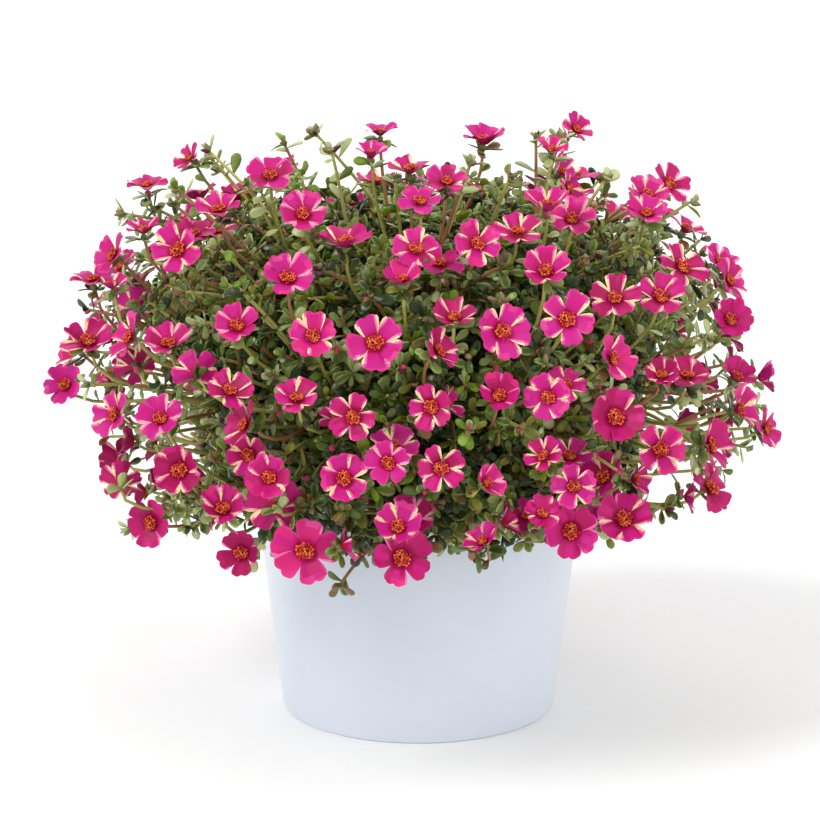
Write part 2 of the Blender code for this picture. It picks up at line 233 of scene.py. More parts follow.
# Buds at a shoot's end
GREEN_BUD, PINK_BUD, SPENT_BLOOM = range(3)
BUD_COUNTS = {"bloom": (0, 1, 2, 2, 3), "spray": (0, 0, 0, 1, 2), "budded": (2, 3, 4, 5)}
BUD_KINDS = (GREEN_BUD, GREEN_BUD, GREEN_BUD, GREEN_BUD, PINK_BUD, SPENT_BLOOM)
BUD_LEANS = (15.0, 60.0)
BUD_SIZES = (0.0050, 0.0082)
BUD_BACK = 0.003
BUD_TIP = 0.62
SPENT_LONGER = 1.1

# Blooms
BLOOM_RADIUS = 0.0153
LARGER = 1.18
SMALLER = 0.80
BLOOM_DEPTHS = (0.985, 0.925, 0.865, 0.80)
BLOOM_TOUCH = 0.021
BLOOM_OPEN = 0.022
BLOOM_FOOT = 0.12
BLOOM_CLEAR = 0.001
BLOOM_SHADE = 0.9
BLOOM_SIZES = (0.94, 1.06)
BLOOM_TURN_SPREAD = 10.0
BLOOM_TILT_SPREAD = 7.0
# Those low on the front are nearer, and so a little larger
NEAR_BELOW = 0.35
NEAR_LARGER = 0.25
# Blooms that the picture doesn't show
BACK_TRIES = 6000
BACK_STARTS = -0.03
BACK_SPACING = 0.0288
BACK_DEPTH = (0.93, 1.0)
BACK_SIZES = (0.92, 1.12)
TOP_LOWERED = 0.21
# How they look: outward, up to the light, and at the top more to the front
BLOOM_SWAY = 0.22
LOOK_UP = 0.32
HIGH_LOOK_UP = 1.2
HIGH_LOOK_FRONT = 0.6

# Petals: a mean and spread, or a range, for how each is bent, set and sized
PETALS = 5
PETAL_CUP = (42.0, 7.0)
MOST_CUP = 49.0
PETAL_FLAT = (15.0, 12.0)
TIP_ANGLE_SPREAD = 0.16
LEAST_CURL = 0.05
PETAL_LAP = (0.10, 0.28)
PETAL_TURN_SPREAD = 0.09
BLOOM_WIDTHS = (0.97, 1.24)
PETAL_WIDTHS = (0.90, 1.07)
PETAL_LENGTH = 0.93
PETAL_LENGTHS = (0.93, 1.06)
PETAL_ROOT = 0.07
PETAL_SUNK = 0.002
PETAL_CAMBER = (0.25, 0.85)
PETAL_RUFFLE = (0.02, 0.06)
RUFFLE_WAVES = 10.0
# How likely a margin has a streak
STREAKS = (0.45, 0.65, 0.8, 0.9, 1.0)
PLAIN_STREAKS = 0.05
# How likely a petal has a red throat, a painted highlight in its middle, a lighter rim that is partly
# painted highlight, and a painted highlight patch
THROAT_CHANCE = 0.6
MIDDLE_HIGHLIGHT_CHANCE = 0.5
RIM_AND_HIGHLIGHT_CHANCE = 0.7
HIGHLIGHT_PATCH_CHANCE = 0.45

# The heart of a bloom: stamens in a dome, over a green cup
STAMENS = 40
STAMEN_LEAN = math.radians(35.0)
STAMEN_SPREAD = 0.06
STAMEN_ROOTS = 0.24
STAMEN_LENGTHS = (0.72, 0.95)
FILAMENT_RADII = (0.055, 0.035)
FILAMENT_LENGTH = 0.85
ANTHER_PLACE = 0.9
ANTHER_RADIUS = 0.155
ANTHER_STRETCH = (1.35, 0.75, 0.75)
HEART_SIZE = 0.365
HEART_SUNK = 0.0012
CALYX_SIZE = 0.0046
CALYX_SUNK = 0.006

# Leaves are shared out into pieces of no more triangles
PIECE_LIMIT = 190_000


class BloomGroup(NamedTuple):
    """Blooms of the picture, by the pixels of their middles, that look the same way.

    They are turned to the right and tilted up by degrees, and then outward by a share.
    """

    turn: float
    tilt: float
    outward: float
    pixels: tuple


PICTURE_BLOOMS = (
    # To the camera
    BloomGroup(0.0, 17.0, 0.22, (
        (64, 384), (177, 249), (478, 243), (375, 342), (503, 331), (567, 319), (179, 470), (353, 417),
        (431, 407), (269, 477), (248, 455), (388, 463), (441, 468), (616, 417), (661, 449), (731, 319),
        (574, 486), (571, 531), (150, 523), (241, 553), (305, 551), (402, 558), (548, 397),
    )),
    # Tilted up
    BloomGroup(0.0, 44.0, 0.12, (
        (303, 213), (288, 277), (313, 336), (344, 478), (546, 270), (230, 389), (615, 297), (223, 508),
        (543, 513), (416, 248), (624, 519), (160, 418), (398, 526), (237, 325),
    )),
    # Half up
    BloomGroup(0.0, 61.0, 0.12, (
        (218, 208), (193, 232), (217, 229), (270, 174), (402, 278), (447, 180), (420, 200), (548, 204),
        (572, 218), (648, 193), (647, 212), (661, 296), (454, 316), (297, 397), (499, 395), (394, 446),
        (570, 455), (412, 517), (688, 374), (662, 374), (88, 340), (337, 416), (528, 515), (168, 342),
    )),
    # Up
    BloomGroup(0.0, 78.0, 0.12, (
        (147, 184), (380, 130), (372, 152), (410, 167), (484, 138), (518, 230), (345, 240), (552, 148),
        (440, 262), (93, 278), (143, 228), (112, 283),
    )),
    # To the left
    BloomGroup(-62.0, 25.0, 0.12, (
        (128, 337), (113, 414), (610, 511), (603, 476), (243, 424), (112, 254), (73, 350),
    )),
    # Up and to the left
    BloomGroup(-50.0, 48.0, 0.05, (
        (188, 157), (482, 540), (543, 455),
    )),
    # To the right
    BloomGroup(61.0, 25.0, 0.12, (
        (614, 358), (712, 445), (712, 487), (741, 408), (731, 280), (488, 482), (440, 350), (570, 188),
        (563, 170), (768, 428), (450, 404),
    )),
    # Up and to the right
    BloomGroup(48.0, 46.0, 0.05, (
        (577, 128), (670, 183), (722, 262), (683, 266), (737, 375), (566, 383),
    )),
    # Seen edge on
    BloomGroup(88.0, 15.0, 0.05, (
        (347, 545), (508, 522), (637, 479), (690, 497), (764, 377),
    )),
    # Seen from behind
    BloomGroup(-176.0, 2.0, 0.05, (
        (120, 482), (135, 306), (135, 365), (195, 372), (274, 504),
    )),
)
# Those of them that are larger than most, smaller, or have hardly any streaks
LARGE_BLOOMS = {
    (274, 504), (661, 449), (712, 445), (712, 487), (624, 519), (603, 476), (548, 204), (683, 266),
    (345, 240), (179, 470), (128, 337), (88, 340), (177, 249), (375, 342), (616, 417), (503, 331),
    (402, 558), (305, 551), (546, 270), (567, 319), (661, 296), (571, 531), (288, 277),
}
SMALL_BLOOMS = {
    (482, 540), (528, 515), (508, 522), (347, 545), (543, 513), (690, 497), (637, 479), (143, 228),
    (112, 283), (662, 374), (337, 416), (488, 482), (543, 455), (566, 383), (563, 170), (570, 188),
    (552, 148), (577, 128), (450, 404), (188, 157), (380, 130), (372, 152),
}
PLAIN_BLOOMS = {
    (305, 551), (402, 558), (571, 531), (241, 553), (150, 523), (270, 174), (447, 180), (420, 200),
    (616, 417), (64, 384), (614, 358), (193, 232), (737, 375), (112, 254), (731, 319), (712, 487),
}
# Shoots with buds that stand out in the picture, and leafy ones
BUDDED_SHOOTS = (
    (317, 135), (332, 152), (285, 145), (210, 152), (178, 190), (125, 214), (536, 140), (510, 178),
    (605, 180), (690, 202), (340, 585), (475, 552), (665, 510), (620, 472), (700, 470), (90, 385),
    (708, 338), (90, 310), (560, 140), (470, 165),
)
LEAFY_SHOOTS = (
    (132, 220), (150, 206), (166, 284), (186, 292), (150, 302), (118, 300), (135, 386), (154, 446),
    (130, 528), (190, 528), (204, 506), (214, 462), (645, 226), (660, 240), (640, 246), (704, 270),
    (690, 302), (668, 316), (714, 300), (660, 336), (690, 396), (744, 396), (735, 362), (745, 447),
    (290, 168), (395, 180), (470, 178), (600, 205), (105, 368), (160, 385), (172, 402), (150, 430),
    (215, 162), (700, 240), (700, 335), (684, 348), (700, 448), (170, 500), (186, 514), (198, 496),
    (700, 256), (248, 186), (262, 194), (292, 182), (302, 176), (162, 512), (176, 506), (192, 526),
    (520, 182), (498, 186), (504, 500), (512, 508), (302, 512), (311, 508), (112, 310), (125, 322),
    (108, 326), (722, 470), (697, 462), (760, 405), (752, 428), (340, 500), (346, 510),
)

# The crown's own edge in the picture, past which only the blooms and shoots named above reach
CROWN_EDGE = (
    (84, 384), (62, 360), (66, 330), (78, 300), (98, 262), (116, 226), (140, 188), (176, 168),
    (225, 162), (275, 160), (300, 174), (330, 186), (360, 182), (378, 170), (430, 172), (470, 180),
    (510, 179), (535, 168), (575, 160), (620, 184), (660, 182), (695, 212), (726, 252), (748, 296),
    (762, 350), (768, 400), (742, 440), (704, 480), (672, 502), (640, 520), (590, 536), (540, 540),
    (480, 541), (430, 546), (400, 553), (320, 553), (260, 545), (215, 540), (160, 532), (122, 517),
    (100, 484), (98, 420), (96, 400),
)
CROWN_CENTRE = (410, 350)
BACK_INSET = 0.06
# Patches of the picture as (left, right, top, bottom) where the rule sets no bloom
BARE_PATCHES = (
    (286, 366, 100, 205), (462, 536, 100, 205), (588, 636, 100, 205), (636, 706, 452, 510),
)
# and those where it sets no shoot of the canopy's outer layer
SKY_GAPS = ((636, 690, 464, 504), (690, 722, 385, 412))


class Ring(NamedTuple):
    """A ring of equal foliage masses round the crown."""

    name: str
    masses: int
    elevation: float
    first_azimuth: float
    inner_reach: float


RINGS = (
    Ring("top", 1, 90.0, 0.0, 0.075),
    Ring("upper", 6, 51.0, -90.0, 0.070),
    Ring("middle", 8, 19.0, -112.5, 0.060),
    Ring("low", 8, -9.0, -90.0, 0.112),
)
AZIMUTH_JITTER = 4.0
ELEVATION_JITTER = 2.0


class Cell(NamedTuple):
    """One mass's share of the crown: the directions that are nearest to its own."""

    name: str
    ring: Ring
    direction: Vector


class Tip(NamedTuple):
    """The end of one shoot: what it carries there, how large, and whether a bloom has few streaks."""

    place: Vector
    facing: Vector
    kind: str
    size: float
    plain: bool = False


class Shoot(NamedTuple):
    """A stem of any size: its route and its radius at both ends."""

    route: list
    first_radius: float
    last_radius: float
    sides: int


def paint(red, green, blue):
    """A colour as it looks on a screen, 0 to 255, as the shader's own numbers."""
    linear = []
    for value in (red, green, blue):
        share = value / 255.0
        linear.append(share / 12.92 if share <= 0.04045 else ((share + 0.055) / 1.055) ** 2.4)
    return tuple(linear)


def finish(name, colour, gloss, grain, relief):
    """A plain base colour under a finish: uneven gloss and a fine relief of one grain size."""
    look = bpy.data.materials.new(name)
    look.use_nodes = True
    nodes = look.node_tree.nodes
    links = look.node_tree.links
    shader = nodes["Principled BSDF"]
    shader.inputs["Base Color"].default_value = (*colour, 1.0)
    place = nodes.new("ShaderNodeTexCoord")
    noise = nodes.new("ShaderNodeTexNoise")
    noise.inputs["Scale"].default_value = 1.0 / grain
    noise.inputs["Detail"].default_value = GRAIN_DETAIL
    links.new(place.outputs["Object"], noise.inputs["Vector"])
    spread = nodes.new("ShaderNodeMapRange")
    for socket, value in zip(("From Min", "From Max", "To Min", "To Max"), (*GRAIN_RANGE, *gloss)):
        spread.inputs[socket].default_value = value
    links.new(noise.outputs["Fac"], spread.inputs["Value"])
    links.new(spread.outputs["Result"], shader.inputs["Roughness"])
    bump = nodes.new("ShaderNodeBump")
    bump.inputs["Distance"].default_value = relief
    links.new(noise.outputs["Fac"], bump.inputs["Height"])
    links.new(bump.outputs["Normal"], shader.inputs["Normal"])
    return look


def adjust(look, **values):
    """Set inputs of a material's shader, named with underscores for spaces."""
    inputs = look.node_tree.nodes["Principled BSDF"].inputs
    for name, value in values.items():
        inputs[name.replace("_", " ")].default_value = value


def coat(look, weight, roughness):
    """Lay a clear coat over a material."""
    adjust(look, Coat_Weight=weight, Coat_Roughness=roughness)


def petal_finish(name, colour):
    """Petals: silky rather than glossy, with a faint painted glow in their own colour that stands in for
    light coming through thin petals.
    """
    look = finish(name, colour, gloss=(0.40, 0.56), grain=0.0012, relief=0.00012)
    adjust(look, Specular_IOR_Level=PETAL_SPECULAR)
    # Painted glow: the petal's own colour, emitted faintly
    adjust(look, Emission_Color=(*colour, 1.0), Emission_Strength=PAINTED_PETAL_GLOW)
    return look


def leaf_finish(name, colour):
    """Leaves: fleshy and waxy, so they shine softly."""
    look = finish(name, colour, gloss=(0.28, 0.42), grain=0.0016, relief=0.00010)
    adjust(look, Specular_IOR_Level=LEAF_SPECULAR)
    coat(look, *WAX_COAT)
    return look


def stem_finish(name, colour):
    """Young stems: smooth and fleshy, faintly ridged."""
    return finish(name, colour, gloss=(0.38, 0.55), grain=0.0020, relief=0.00015)


def looks_of(paints, make):
    """A material for each named colour, in order."""
    return [make(name, paint(*colour)) for name, colour in paints.items()]


def mottled_finish(name, colours, patch, gloss, grain, relief):
    """Two colours that run into each other in soft patches of one size, under a fine relief."""
    look = finish(name, colours[0], gloss, grain, relief)
    nodes = look.node_tree.nodes
    links = look.node_tree.links
    patches = nodes.new("ShaderNodeTexNoise")
    patches.inputs["Scale"].default_value = 1.0 / patch
    patches.inputs["Detail"].default_value = MOTTLE_DETAIL
    links.new(nodes["Texture Coordinate"].outputs["Object"], patches.inputs["Vector"])
    blend = nodes.new("ShaderNodeValToRGB")
    for stop, position, colour in zip(blend.color_ramp.elements, MOTTLE_RANGE, colours):
        stop.position = position
        stop.color = (*colour, 1.0)
    links.new(patches.outputs["Fac"], blend.inputs["Fac"])
    links.new(blend.outputs["Color"], nodes["Principled BSDF"].inputs["Base Color"])
    return look


def heading(azimuth, elevation):
    """Unit vector from an azimuth (from +X towards +Y) and an elevation, in degrees."""
    turn = math.radians(azimuth)
    rise = math.radians(elevation)
    return Vector((math.cos(turn) * math.cos(rise), math.sin(turn) * math.cos(rise), math.sin(rise)))


def any_turn(chance):
    """A random angle, in radians."""
    return chance.uniform(0.0, FULL_TURN)


def from_focus(place):
    """Unit vector from FOCUS towards a place."""
    return (place - FOCUS).normalized()


def crown_cells():
    """The masses' shares of the crown, with the same names and directions as their nodes."""
    cells = []
    for ring in RINGS:
        chance = random.Random(f"cells {ring.name}")
        for number in range(ring.masses):
            azimuth = ring.first_azimuth + 360.0 * number / ring.masses
            azimuth += chance.uniform(-AZIMUTH_JITTER, AZIMUTH_JITTER)
            elevation = ring.elevation
            if ring.masses > 1:
                elevation += chance.uniform(-ELEVATION_JITTER, ELEVATION_JITTER)
            name = ring.name if ring.masses == 1 else f"{ring.name}_{number + 1}"
            cells.append(Cell(name, ring, heading(azimuth, elevation)))
    return cells


def crown_depth(point):
    """0 at the crown's middle, 1 on its envelope."""
    across = math.hypot(point.x, point.y) / CROWN_RADIUS
    height = point.z - CROWN_MIDDLE
    along = abs(height) / (CROWN_RISE if height > 0.0 else CROWN_DROP)
    return (across**CROWN_ROUNDNESS + along**CROWN_ROUNDNESS) ** (1.0 / CROWN_ROUNDNESS)


def reach(direction):
    """Distance from FOCUS to the crown's envelope, by halving."""
    near, far = 0.0, 2.0 * CROWN_RADIUS
    for _ in range(HALVINGS):
        middle = (near + far) / 2.0
        if crown_depth(FOCUS + direction * middle) < 1.0:
            near = middle
        else:
            far = middle
    return near


def clears_pot(point):
    """Whether a point is past the pot's side or above its rim."""
    across = math.hypot(point.x, point.y)
    return across > POT_TOP_RADIUS + RIM_CLEARANCE or point.z > POT_HEIGHT + RIM_CLEARANCE


def curve_points(start, bend, end, spans):
    """Points along a quadratic curve."""
    points = []
    for step in range(spans + 1):
        share = step / spans
        points.append(start.lerp(bend, share).lerp(bend.lerp(end, share), share))
    return points


def bough_route(cell):
    """Main stem from the stem base to where it enters its mass; the low ones arch over the rim."""
    end = FOCUS + cell.direction * cell.ring.inner_reach
    if cell.ring.name == "low":
        across = Vector((cell.direction.x, cell.direction.y, 0.0)).normalized()
        end = across * cell.ring.inner_reach
        end.z = POT_HEIGHT + RIM_CLEARANCE + 2.0 * BOUGH_RADIUS
    toward = from_focus(end)
    start = FOCUS + toward * (TRUNK_RADIUS + GAP)
    bend = start.lerp(end, 0.5) + Vector((0.0, 0.0, BOUGH_BOW))
    return curve_points(start, bend, end, BOUGH_SPANS)


def sight_line(pixel):
    """Unit direction from the camera through a pixel of the picture."""
    middle = PICTURE_SIZE / 2.0
    focal = middle / math.tan(CAMERA_VIEW / 2.0)
    ahead = Vector((0.0, math.cos(CAMERA_PITCH), -math.sin(CAMERA_PITCH)))
    upward = Vector((0.0, math.sin(CAMERA_PITCH), math.cos(CAMERA_PITCH)))
    across = Vector((1.0, 0.0, 0.0))
    x, y = pixel
    return (ahead + across * ((x - middle) / focal) + upward * ((middle - y) / focal)).normalized()


def pixel_of(point):
    """The picture's pixel that a point is seen at."""
    middle = PICTURE_SIZE / 2.0
    focal = middle / math.tan(CAMERA_VIEW / 2.0)
    offset = point - CAMERA_PLACE
    ahead = offset.y * math.cos(CAMERA_PITCH) - offset.z * math.sin(CAMERA_PITCH)
    upward = offset.y * math.sin(CAMERA_PITCH) + offset.z * math.cos(CAMERA_PITCH)
    return middle + focal * offset.x / ahead, middle - focal * upward / ahead


def within_edge(point, inset=0.0):
    """Whether a point is seen inside the crown's edge in the picture, drawn in by a share."""
    x, y = pixel_of(point)
    x += (x - CROWN_CENTRE[0]) * inset
    y += (y - CROWN_CENTRE[1]) * inset
    inside = False
    for (x1, y1), (x2, y2) in zip(CROWN_EDGE, CROWN_EDGE[1:] + CROWN_EDGE[:1]):
        if (y1 > y) != (y2 > y) and x < x1 + (x2 - x1) * (y - y1) / (y2 - y1):
            inside = not inside
    return inside


def seen_in(point, patches):
    """Whether a point is seen inside one of some patches of the picture."""
    x, y = pixel_of(point)
    return any(left < x < right and top < y < bottom for left, right, top, bottom in patches)


def drawn_in(outward, share, inset=0.0):
    """A place along a direction, drawn in until it keeps within the crown's edge."""
    for _ in range(DRAWING_STEPS):
        place = FOCUS + outward * reach(outward) * share
        if within_edge(place, inset):
            return place
        share *= DRAWING_SHARE
    return None


def crown_point(pixel, depth):
    """Where a pixel's sight line first meets the crown at a depth, or else passes it nearest."""
    line = sight_line(pixel)
    near, far = SIGHT_RANGE
    for _ in range(2 * HALVINGS):
        first, second = near + (far - near) / 3.0, far - (far - near) / 3.0
        if crown_depth(CAMERA_PLACE + line * first) < crown_depth(CAMERA_PLACE + line * second):
            far = second
        else:
            near = first
    nearest = near
    if crown_depth(CAMERA_PLACE + line * nearest) >= depth:
        return CAMERA_PLACE + line * nearest
    near, far = SIGHT_RANGE[0], nearest
    for _ in range(HALVINGS):
        middle = (near + far) / 2.0
        if crown_depth(CAMERA_PLACE + line * middle) > depth:
            near = middle
        else:
            far = middle
    return CAMERA_PLACE + line * near


class Spacing:
    """Keeps places apart: it says whether a new place has room, and remembers those taken."""

    def __init__(self):
        self.taken = np.empty((0, 3))

    def room(self, place):
        """Distance from a place to the nearest one taken."""
        if not len(self.taken):
            return math.inf
        return float(np.sqrt(((self.taken - np.array(place)) ** 2).sum(axis=1)).min())

    def take(self, place):
        """Remember a place."""
        self.taken = np.vstack([self.taken, np.array(place)])


def rule_heading(outward, chance):
    """Blooms look outward and up to the light, each a little its own way."""
    sway = Vector([chance.gauss(0.0, BLOOM_SWAY) for _ in range(3)])
    high = max(0.0, outward.z)
    lean = Vector((0.0, -HIGH_LOOK_FRONT * high, LOOK_UP + HIGH_LOOK_UP * high))
    return (outward + lean + sway).normalized()


def picture_blooms(chance, blooms):
    """The blooms that the picture shows, each on the crown's surface behind its own pixel."""
    tips = []
    for group in PICTURE_BLOOMS:
        for pixel in group.pixels:
            for depth in BLOOM_DEPTHS:
                place = crown_point(pixel, depth)
                if blooms.room(place) > BLOOM_TOUCH:
                    break
            blooms.take(place)
            azimuth = CAMERA_AZIMUTH + group.turn + chance.gauss(0.0, BLOOM_TURN_SPREAD)
            look = heading(azimuth, group.tilt + chance.gauss(0.0, BLOOM_TILT_SPREAD))
            outward = from_focus(place)
            facing = (look + outward * group.outward).normalized()
            nearness = max(0.0, -outward.y) ** 3 * max(0.0, NEAR_BELOW - outward.z)
            size = BLOOM_RADIUS * (1.0 + NEAR_LARGER * nearness) * chance.uniform(*BLOOM_SIZES)
            if pixel in LARGE_BLOOMS:
                size *= LARGER
            if pixel in SMALL_BLOOMS:
                size *= SMALLER
            foot = place - facing * BLOOM_FOOT * size
            tips.append(Tip(foot, facing, "bloom", size, pixel in PLAIN_BLOOMS))
    return tips


def random_outward(chance):
    """An even random direction over the whole crown."""
    rise = chance.uniform(LOWEST_RISE, 1.0)
    azimuth = math.degrees(chance.uniform(-math.pi, math.pi))
    return heading(azimuth, math.degrees(math.asin(rise)))


def back_blooms(chance, blooms):
    """Blooms over the parts of the crown that the picture doesn't show."""
    tips = []
    towards_camera = from_focus(CAMERA_PLACE)
    for _ in range(BACK_TRIES):
        outward = random_outward(chance)
        if outward.dot(towards_camera) > BACK_STARTS:
            continue
        lowered = TOP_LOWERED * max(0.0, outward.z) ** 2
        place = drawn_in(outward, chance.uniform(*BACK_DEPTH) - lowered, BACK_INSET)
        if place is None or not clears_pot(place) or blooms.room(place) < BACK_SPACING:
            continue
        if seen_in(place, BARE_PATCHES):
            continue
        blooms.take(place)
        size = BLOOM_RADIUS * chance.uniform(*BACK_SIZES)
        tips.append(Tip(place, rule_heading(outward, chance), "bloom", size))
    return tips


def openness(outward):
    """1 in the middle of the plant's two open sides, where long bare stems show, and 0 elsewhere."""
    low = min(1.0, max(0.0, (OPEN_BELOW - outward.z) / OPEN_FADE))
    return low * abs(outward.x) ** OPENING_POWER


def canopy(outward):
    """How deep the leaves' own surface lies: less at the two open sides and the top."""
    top = TOP_OPENING * max(0.0, outward.z) ** OPENING_POWER
    return CANOPY_DEPTH - SIDE_OPENING * openness(outward) - top


def thinned(spacing, outward):
    """Shoots that stand out of the canopy stand further apart at the two open sides."""
    return spacing * (1.0 + SIDE_THINNING * openness(outward))


def loosened(spacing, outward):
    """Leaves stand further apart where the crown hangs past the pot's rim, most at its open sides."""
    hanging = min(1.0, max(0.0, (HANGING_BELOW - outward.z) / HANGING_FADE))
    return spacing * (1.0 + LOW_THINNING * hanging * (1.0 + LOW_SIDE_THINNING * openness(outward)))


def leafy_tips(chance, blooms):
    """Ends of the shoots that carry leaves alone, in an outer and an inner layer."""
    tips = []
    outer = Spacing()
    inner = Spacing()
    for _ in range(LEAFY_TRIES):
        outward = random_outward(chance)
        facing = rule_heading(outward, chance)
        place = FOCUS + outward * reach(outward) * canopy(outward) * chance.uniform(*CANOPY_UNEVEN)
        roomy = outer.room(place) > loosened(CANOPY_SPACING, outward)
        roomy = roomy and blooms.room(place) > CANOPY_TO_BLOOM
        if roomy and clears_pot(place) and within_edge(place) and not seen_in(place, SKY_GAPS):
            outer.take(place)
            tips.append(Tip(place, facing, "spray", chance.uniform(*SPRAY_SIZES)))
        place = FOCUS + outward * reach(outward) * canopy(outward) * chance.uniform(*INNER_DEPTH)
        if clears_pot(place) and inner.room(place) > INNER_SPACING:
            inner.take(place)
            tips.append(Tip(place, facing, "inner", chance.uniform(*INNER_SIZES)))
    return tips


def proud_tips(chance, blooms):
    """Shoots with leaves and buds that stand out of the canopy among the blooms."""
    tips = []
    proud = Spacing()
    named = ((BUDDED_SHOOTS, BUDDED_DEPTH, "budded"), (LEAFY_SHOOTS, LEAFY_DEPTH, "spray"))
    for pixels, depth, kind in named:
        for pixel in pixels:
            place = crown_point(pixel, depth)
            proud.take(place)
            outward = from_focus(place)
            tips.append(Tip(place, rule_heading(outward, chance), kind, chance.uniform(*PROUD_SIZES)))
    for _ in range(PROUD_TRIES):
        outward = random_outward(chance)
        place = drawn_in(outward, chance.uniform(*PROUD_DEPTH))
        if place is None or not clears_pot(place) or blooms.room(place) < PROUD_TO_BLOOM:
            continue
        if outward.z > PROUD_CEILING or proud.room(place) < thinned(PROUD_SPACING, outward):
            continue
        proud.take(place)
        tips.append(Tip(place, rule_heading(outward, chance), "budded", chance.uniform(*PROUD_SIZES)))
    return tips


def share_among_cells(tips, cells):
    """Each tip belongs to the mass whose own direction is nearest."""
    shares = {cell.name: [] for cell in cells}
    for tip in tips:
        outward = from_focus(tip.place)
        nearest = max(cells, key=lambda cell: cell.direction.dot(outward))
        shares[nearest.name].append(tip)
    return shares


def spread_directions(directions, count):
    """Choose directions that lie as far apart as they can."""
    chosen = [directions[0]]
    while len(chosen) < min(count, len(directions)):
        gaps = [min((direction - other).length for other in chosen) for direction in directions]
        chosen.append(directions[gaps.index(max(gaps))])
    return chosen


def along_route(route, share):
    """A point and the heading at a share of a route."""
    place = min(max(share, 0.0), ROUTE_END) * (len(route) - 1)
    index = int(place)
    before, after = route[index], route[index + 1]
    return before.lerp(after, place - index), (after - before).normalized()


def grow_mass(cell, tips, chance):
    """One mass: its stem from the bough's tip, limbs from the stem, and a shoot to each tip."""
    bough = bough_route(cell)
    entry = (bough[-1] - bough[-2]).normalized()
    start = bough[-1] + entry * GAP
    straight = start + entry * STEM_STRAIGHT
    fork = FOCUS + cell.direction * reach(cell.direction) * FORK_SHARE
    bend = straight + entry * (fork - straight).length * STEM_BEND
    stem = [start] + curve_points(straight, bend, fork, 2 * SHOOT_SPANS)
    shoots = [Shoot(stem, BOUGH_RADIUS * BOUGH_TAPER, LIMB_RADIUS, STEM_SIDES)]
    directions = [from_focus(tip.place) for tip in tips]
    chosen = spread_directions(directions, max(FEWEST_LIMBS, round(len(tips) / TIPS_ON_A_LIMB)))
    carried = []
    for number, toward in enumerate(chosen):
        own = [
            tip
            for tip, direction in zip(tips, directions)
            if max(range(len(chosen)), key=lambda other: chosen[other].dot(direction)) == number
        ]
        middle = sum((from_focus(tip.place) for tip in own), Vector()).normalized()
        end = FOCUS + middle * reach(middle) * LIMB_SHARE
        root, leaving = along_route(stem, chance.uniform(*LIMB_ROOTS))
        bend = root + leaving * (end - root).length * STEM_BEND
        limb = curve_points(root, bend, end, 2 * SHOOT_SPANS)
        shoots.append(Shoot(limb, LIMB_RADIUS, SHOOT_RADIUS, STEM_SIDES))
        for tip in own:
            root, leaving = along_route(limb, chance.uniform(*SHOOT_ROOTS))
            length = (tip.place - root).length
            if tip.kind == "bloom":
                end = tip.place - tip.facing * BLOOM_STALK
                bend = end - tip.facing * length * BLOOM_NOD - Vector((0.0, 0.0, length * BLOOM_SAG))
            else:
                end = tip.place
                bend = root.lerp(end, 0.5) + Vector((0.0, 0.0, SPRAY_BOW))
            route = curve_points(root, bend, end, SHOOT_SPANS)
            shoots.append(Shoot(route, SHOOT_RADIUS, SHOOT_TIP_RADIUS, SHOOT_SIDES))
            carried.append((tip, route))
    return shoots, carried


STEM_PAINTS = {
    "green_stem": (148, 146, 64),
    "pale_stem": (180, 174, 96),
    "red_stem": (160, 112, 72),
}
STEM_TONES = (0, 0, 1, 1, 2, 2)
# Greens: a shoot has one, some of its leaves have one of the next ones, and some upper margins a lighter
# one, a paler rim with painted sheen
LEAF_PAINTS = {
    "leaf_deep": (36, 58, 14),
    "leaf_moss": (66, 68, 10),
    "leaf_mid": (74, 98, 18),
    "leaf_olive": (110, 114, 18),
    "leaf_grey": (124, 142, 68),
    "leaf_fresh": (118, 152, 30),
    "leaf_sage": (164, 176, 112),
    "leaf_pale": (182, 190, 132),
    "leaf_brown": (116, 84, 44),
}
DEEP, MOSS, MID, OLIVE, GREY, FRESH, SAGE, PALE, BROWN = range(len(LEAF_PAINTS))
OUTER_TONES = (DEEP, DEEP, DEEP, MOSS, MID, MID, MID, OLIVE, OLIVE, GREY, FRESH)
# Paler greens for sprays high up and at the sides: painted light
LIT_TONES = (OLIVE, GREY, GREY, FRESH, SAGE, SAGE, SAGE, PALE)
# Leaves inside the crown are dealt the darkest greens: painted shade
SHADED_INNER_TONES = (DEEP, DEEP, DEEP, MOSS, MID)
NEXT_TONES = {
    DEEP: (MOSS, MID),
    MOSS: (DEEP, OLIVE),
    MID: (DEEP, BROWN),
    OLIVE: (MID, BROWN),
    GREY: (MID, SAGE),
    FRESH: (OLIVE, SAGE),
    SAGE: (GREY, PALE),
    PALE: (GREY, FRESH),
    BROWN: (OLIVE, MOSS),
}
# The lighter green of an upper margin: partly a paler rim, partly painted sheen
LIGHTER_MARGIN_AND_SHEEN = {
    DEEP: MID,
    MOSS: OLIVE,
    MID: GREY,
    OLIVE: GREY,
    GREY: SAGE,
    FRESH: SAGE,
    SAGE: PALE,
    PALE: PALE,
    BROWN: OLIVE,
}


class Leaf(NamedTuple):
    """One leaf: where it leaves its stem, how it lies, its size and its two tones."""

    root: Vector
    along: Vector
    facing: Vector
    length: float
    width: float
    bend: float
    tone: int
    margin: int


class Bud(NamedTuple):
    """One bud or spent bloom at a shoot's end."""

    root: Vector
    along: Vector
    size: float
    kind: int


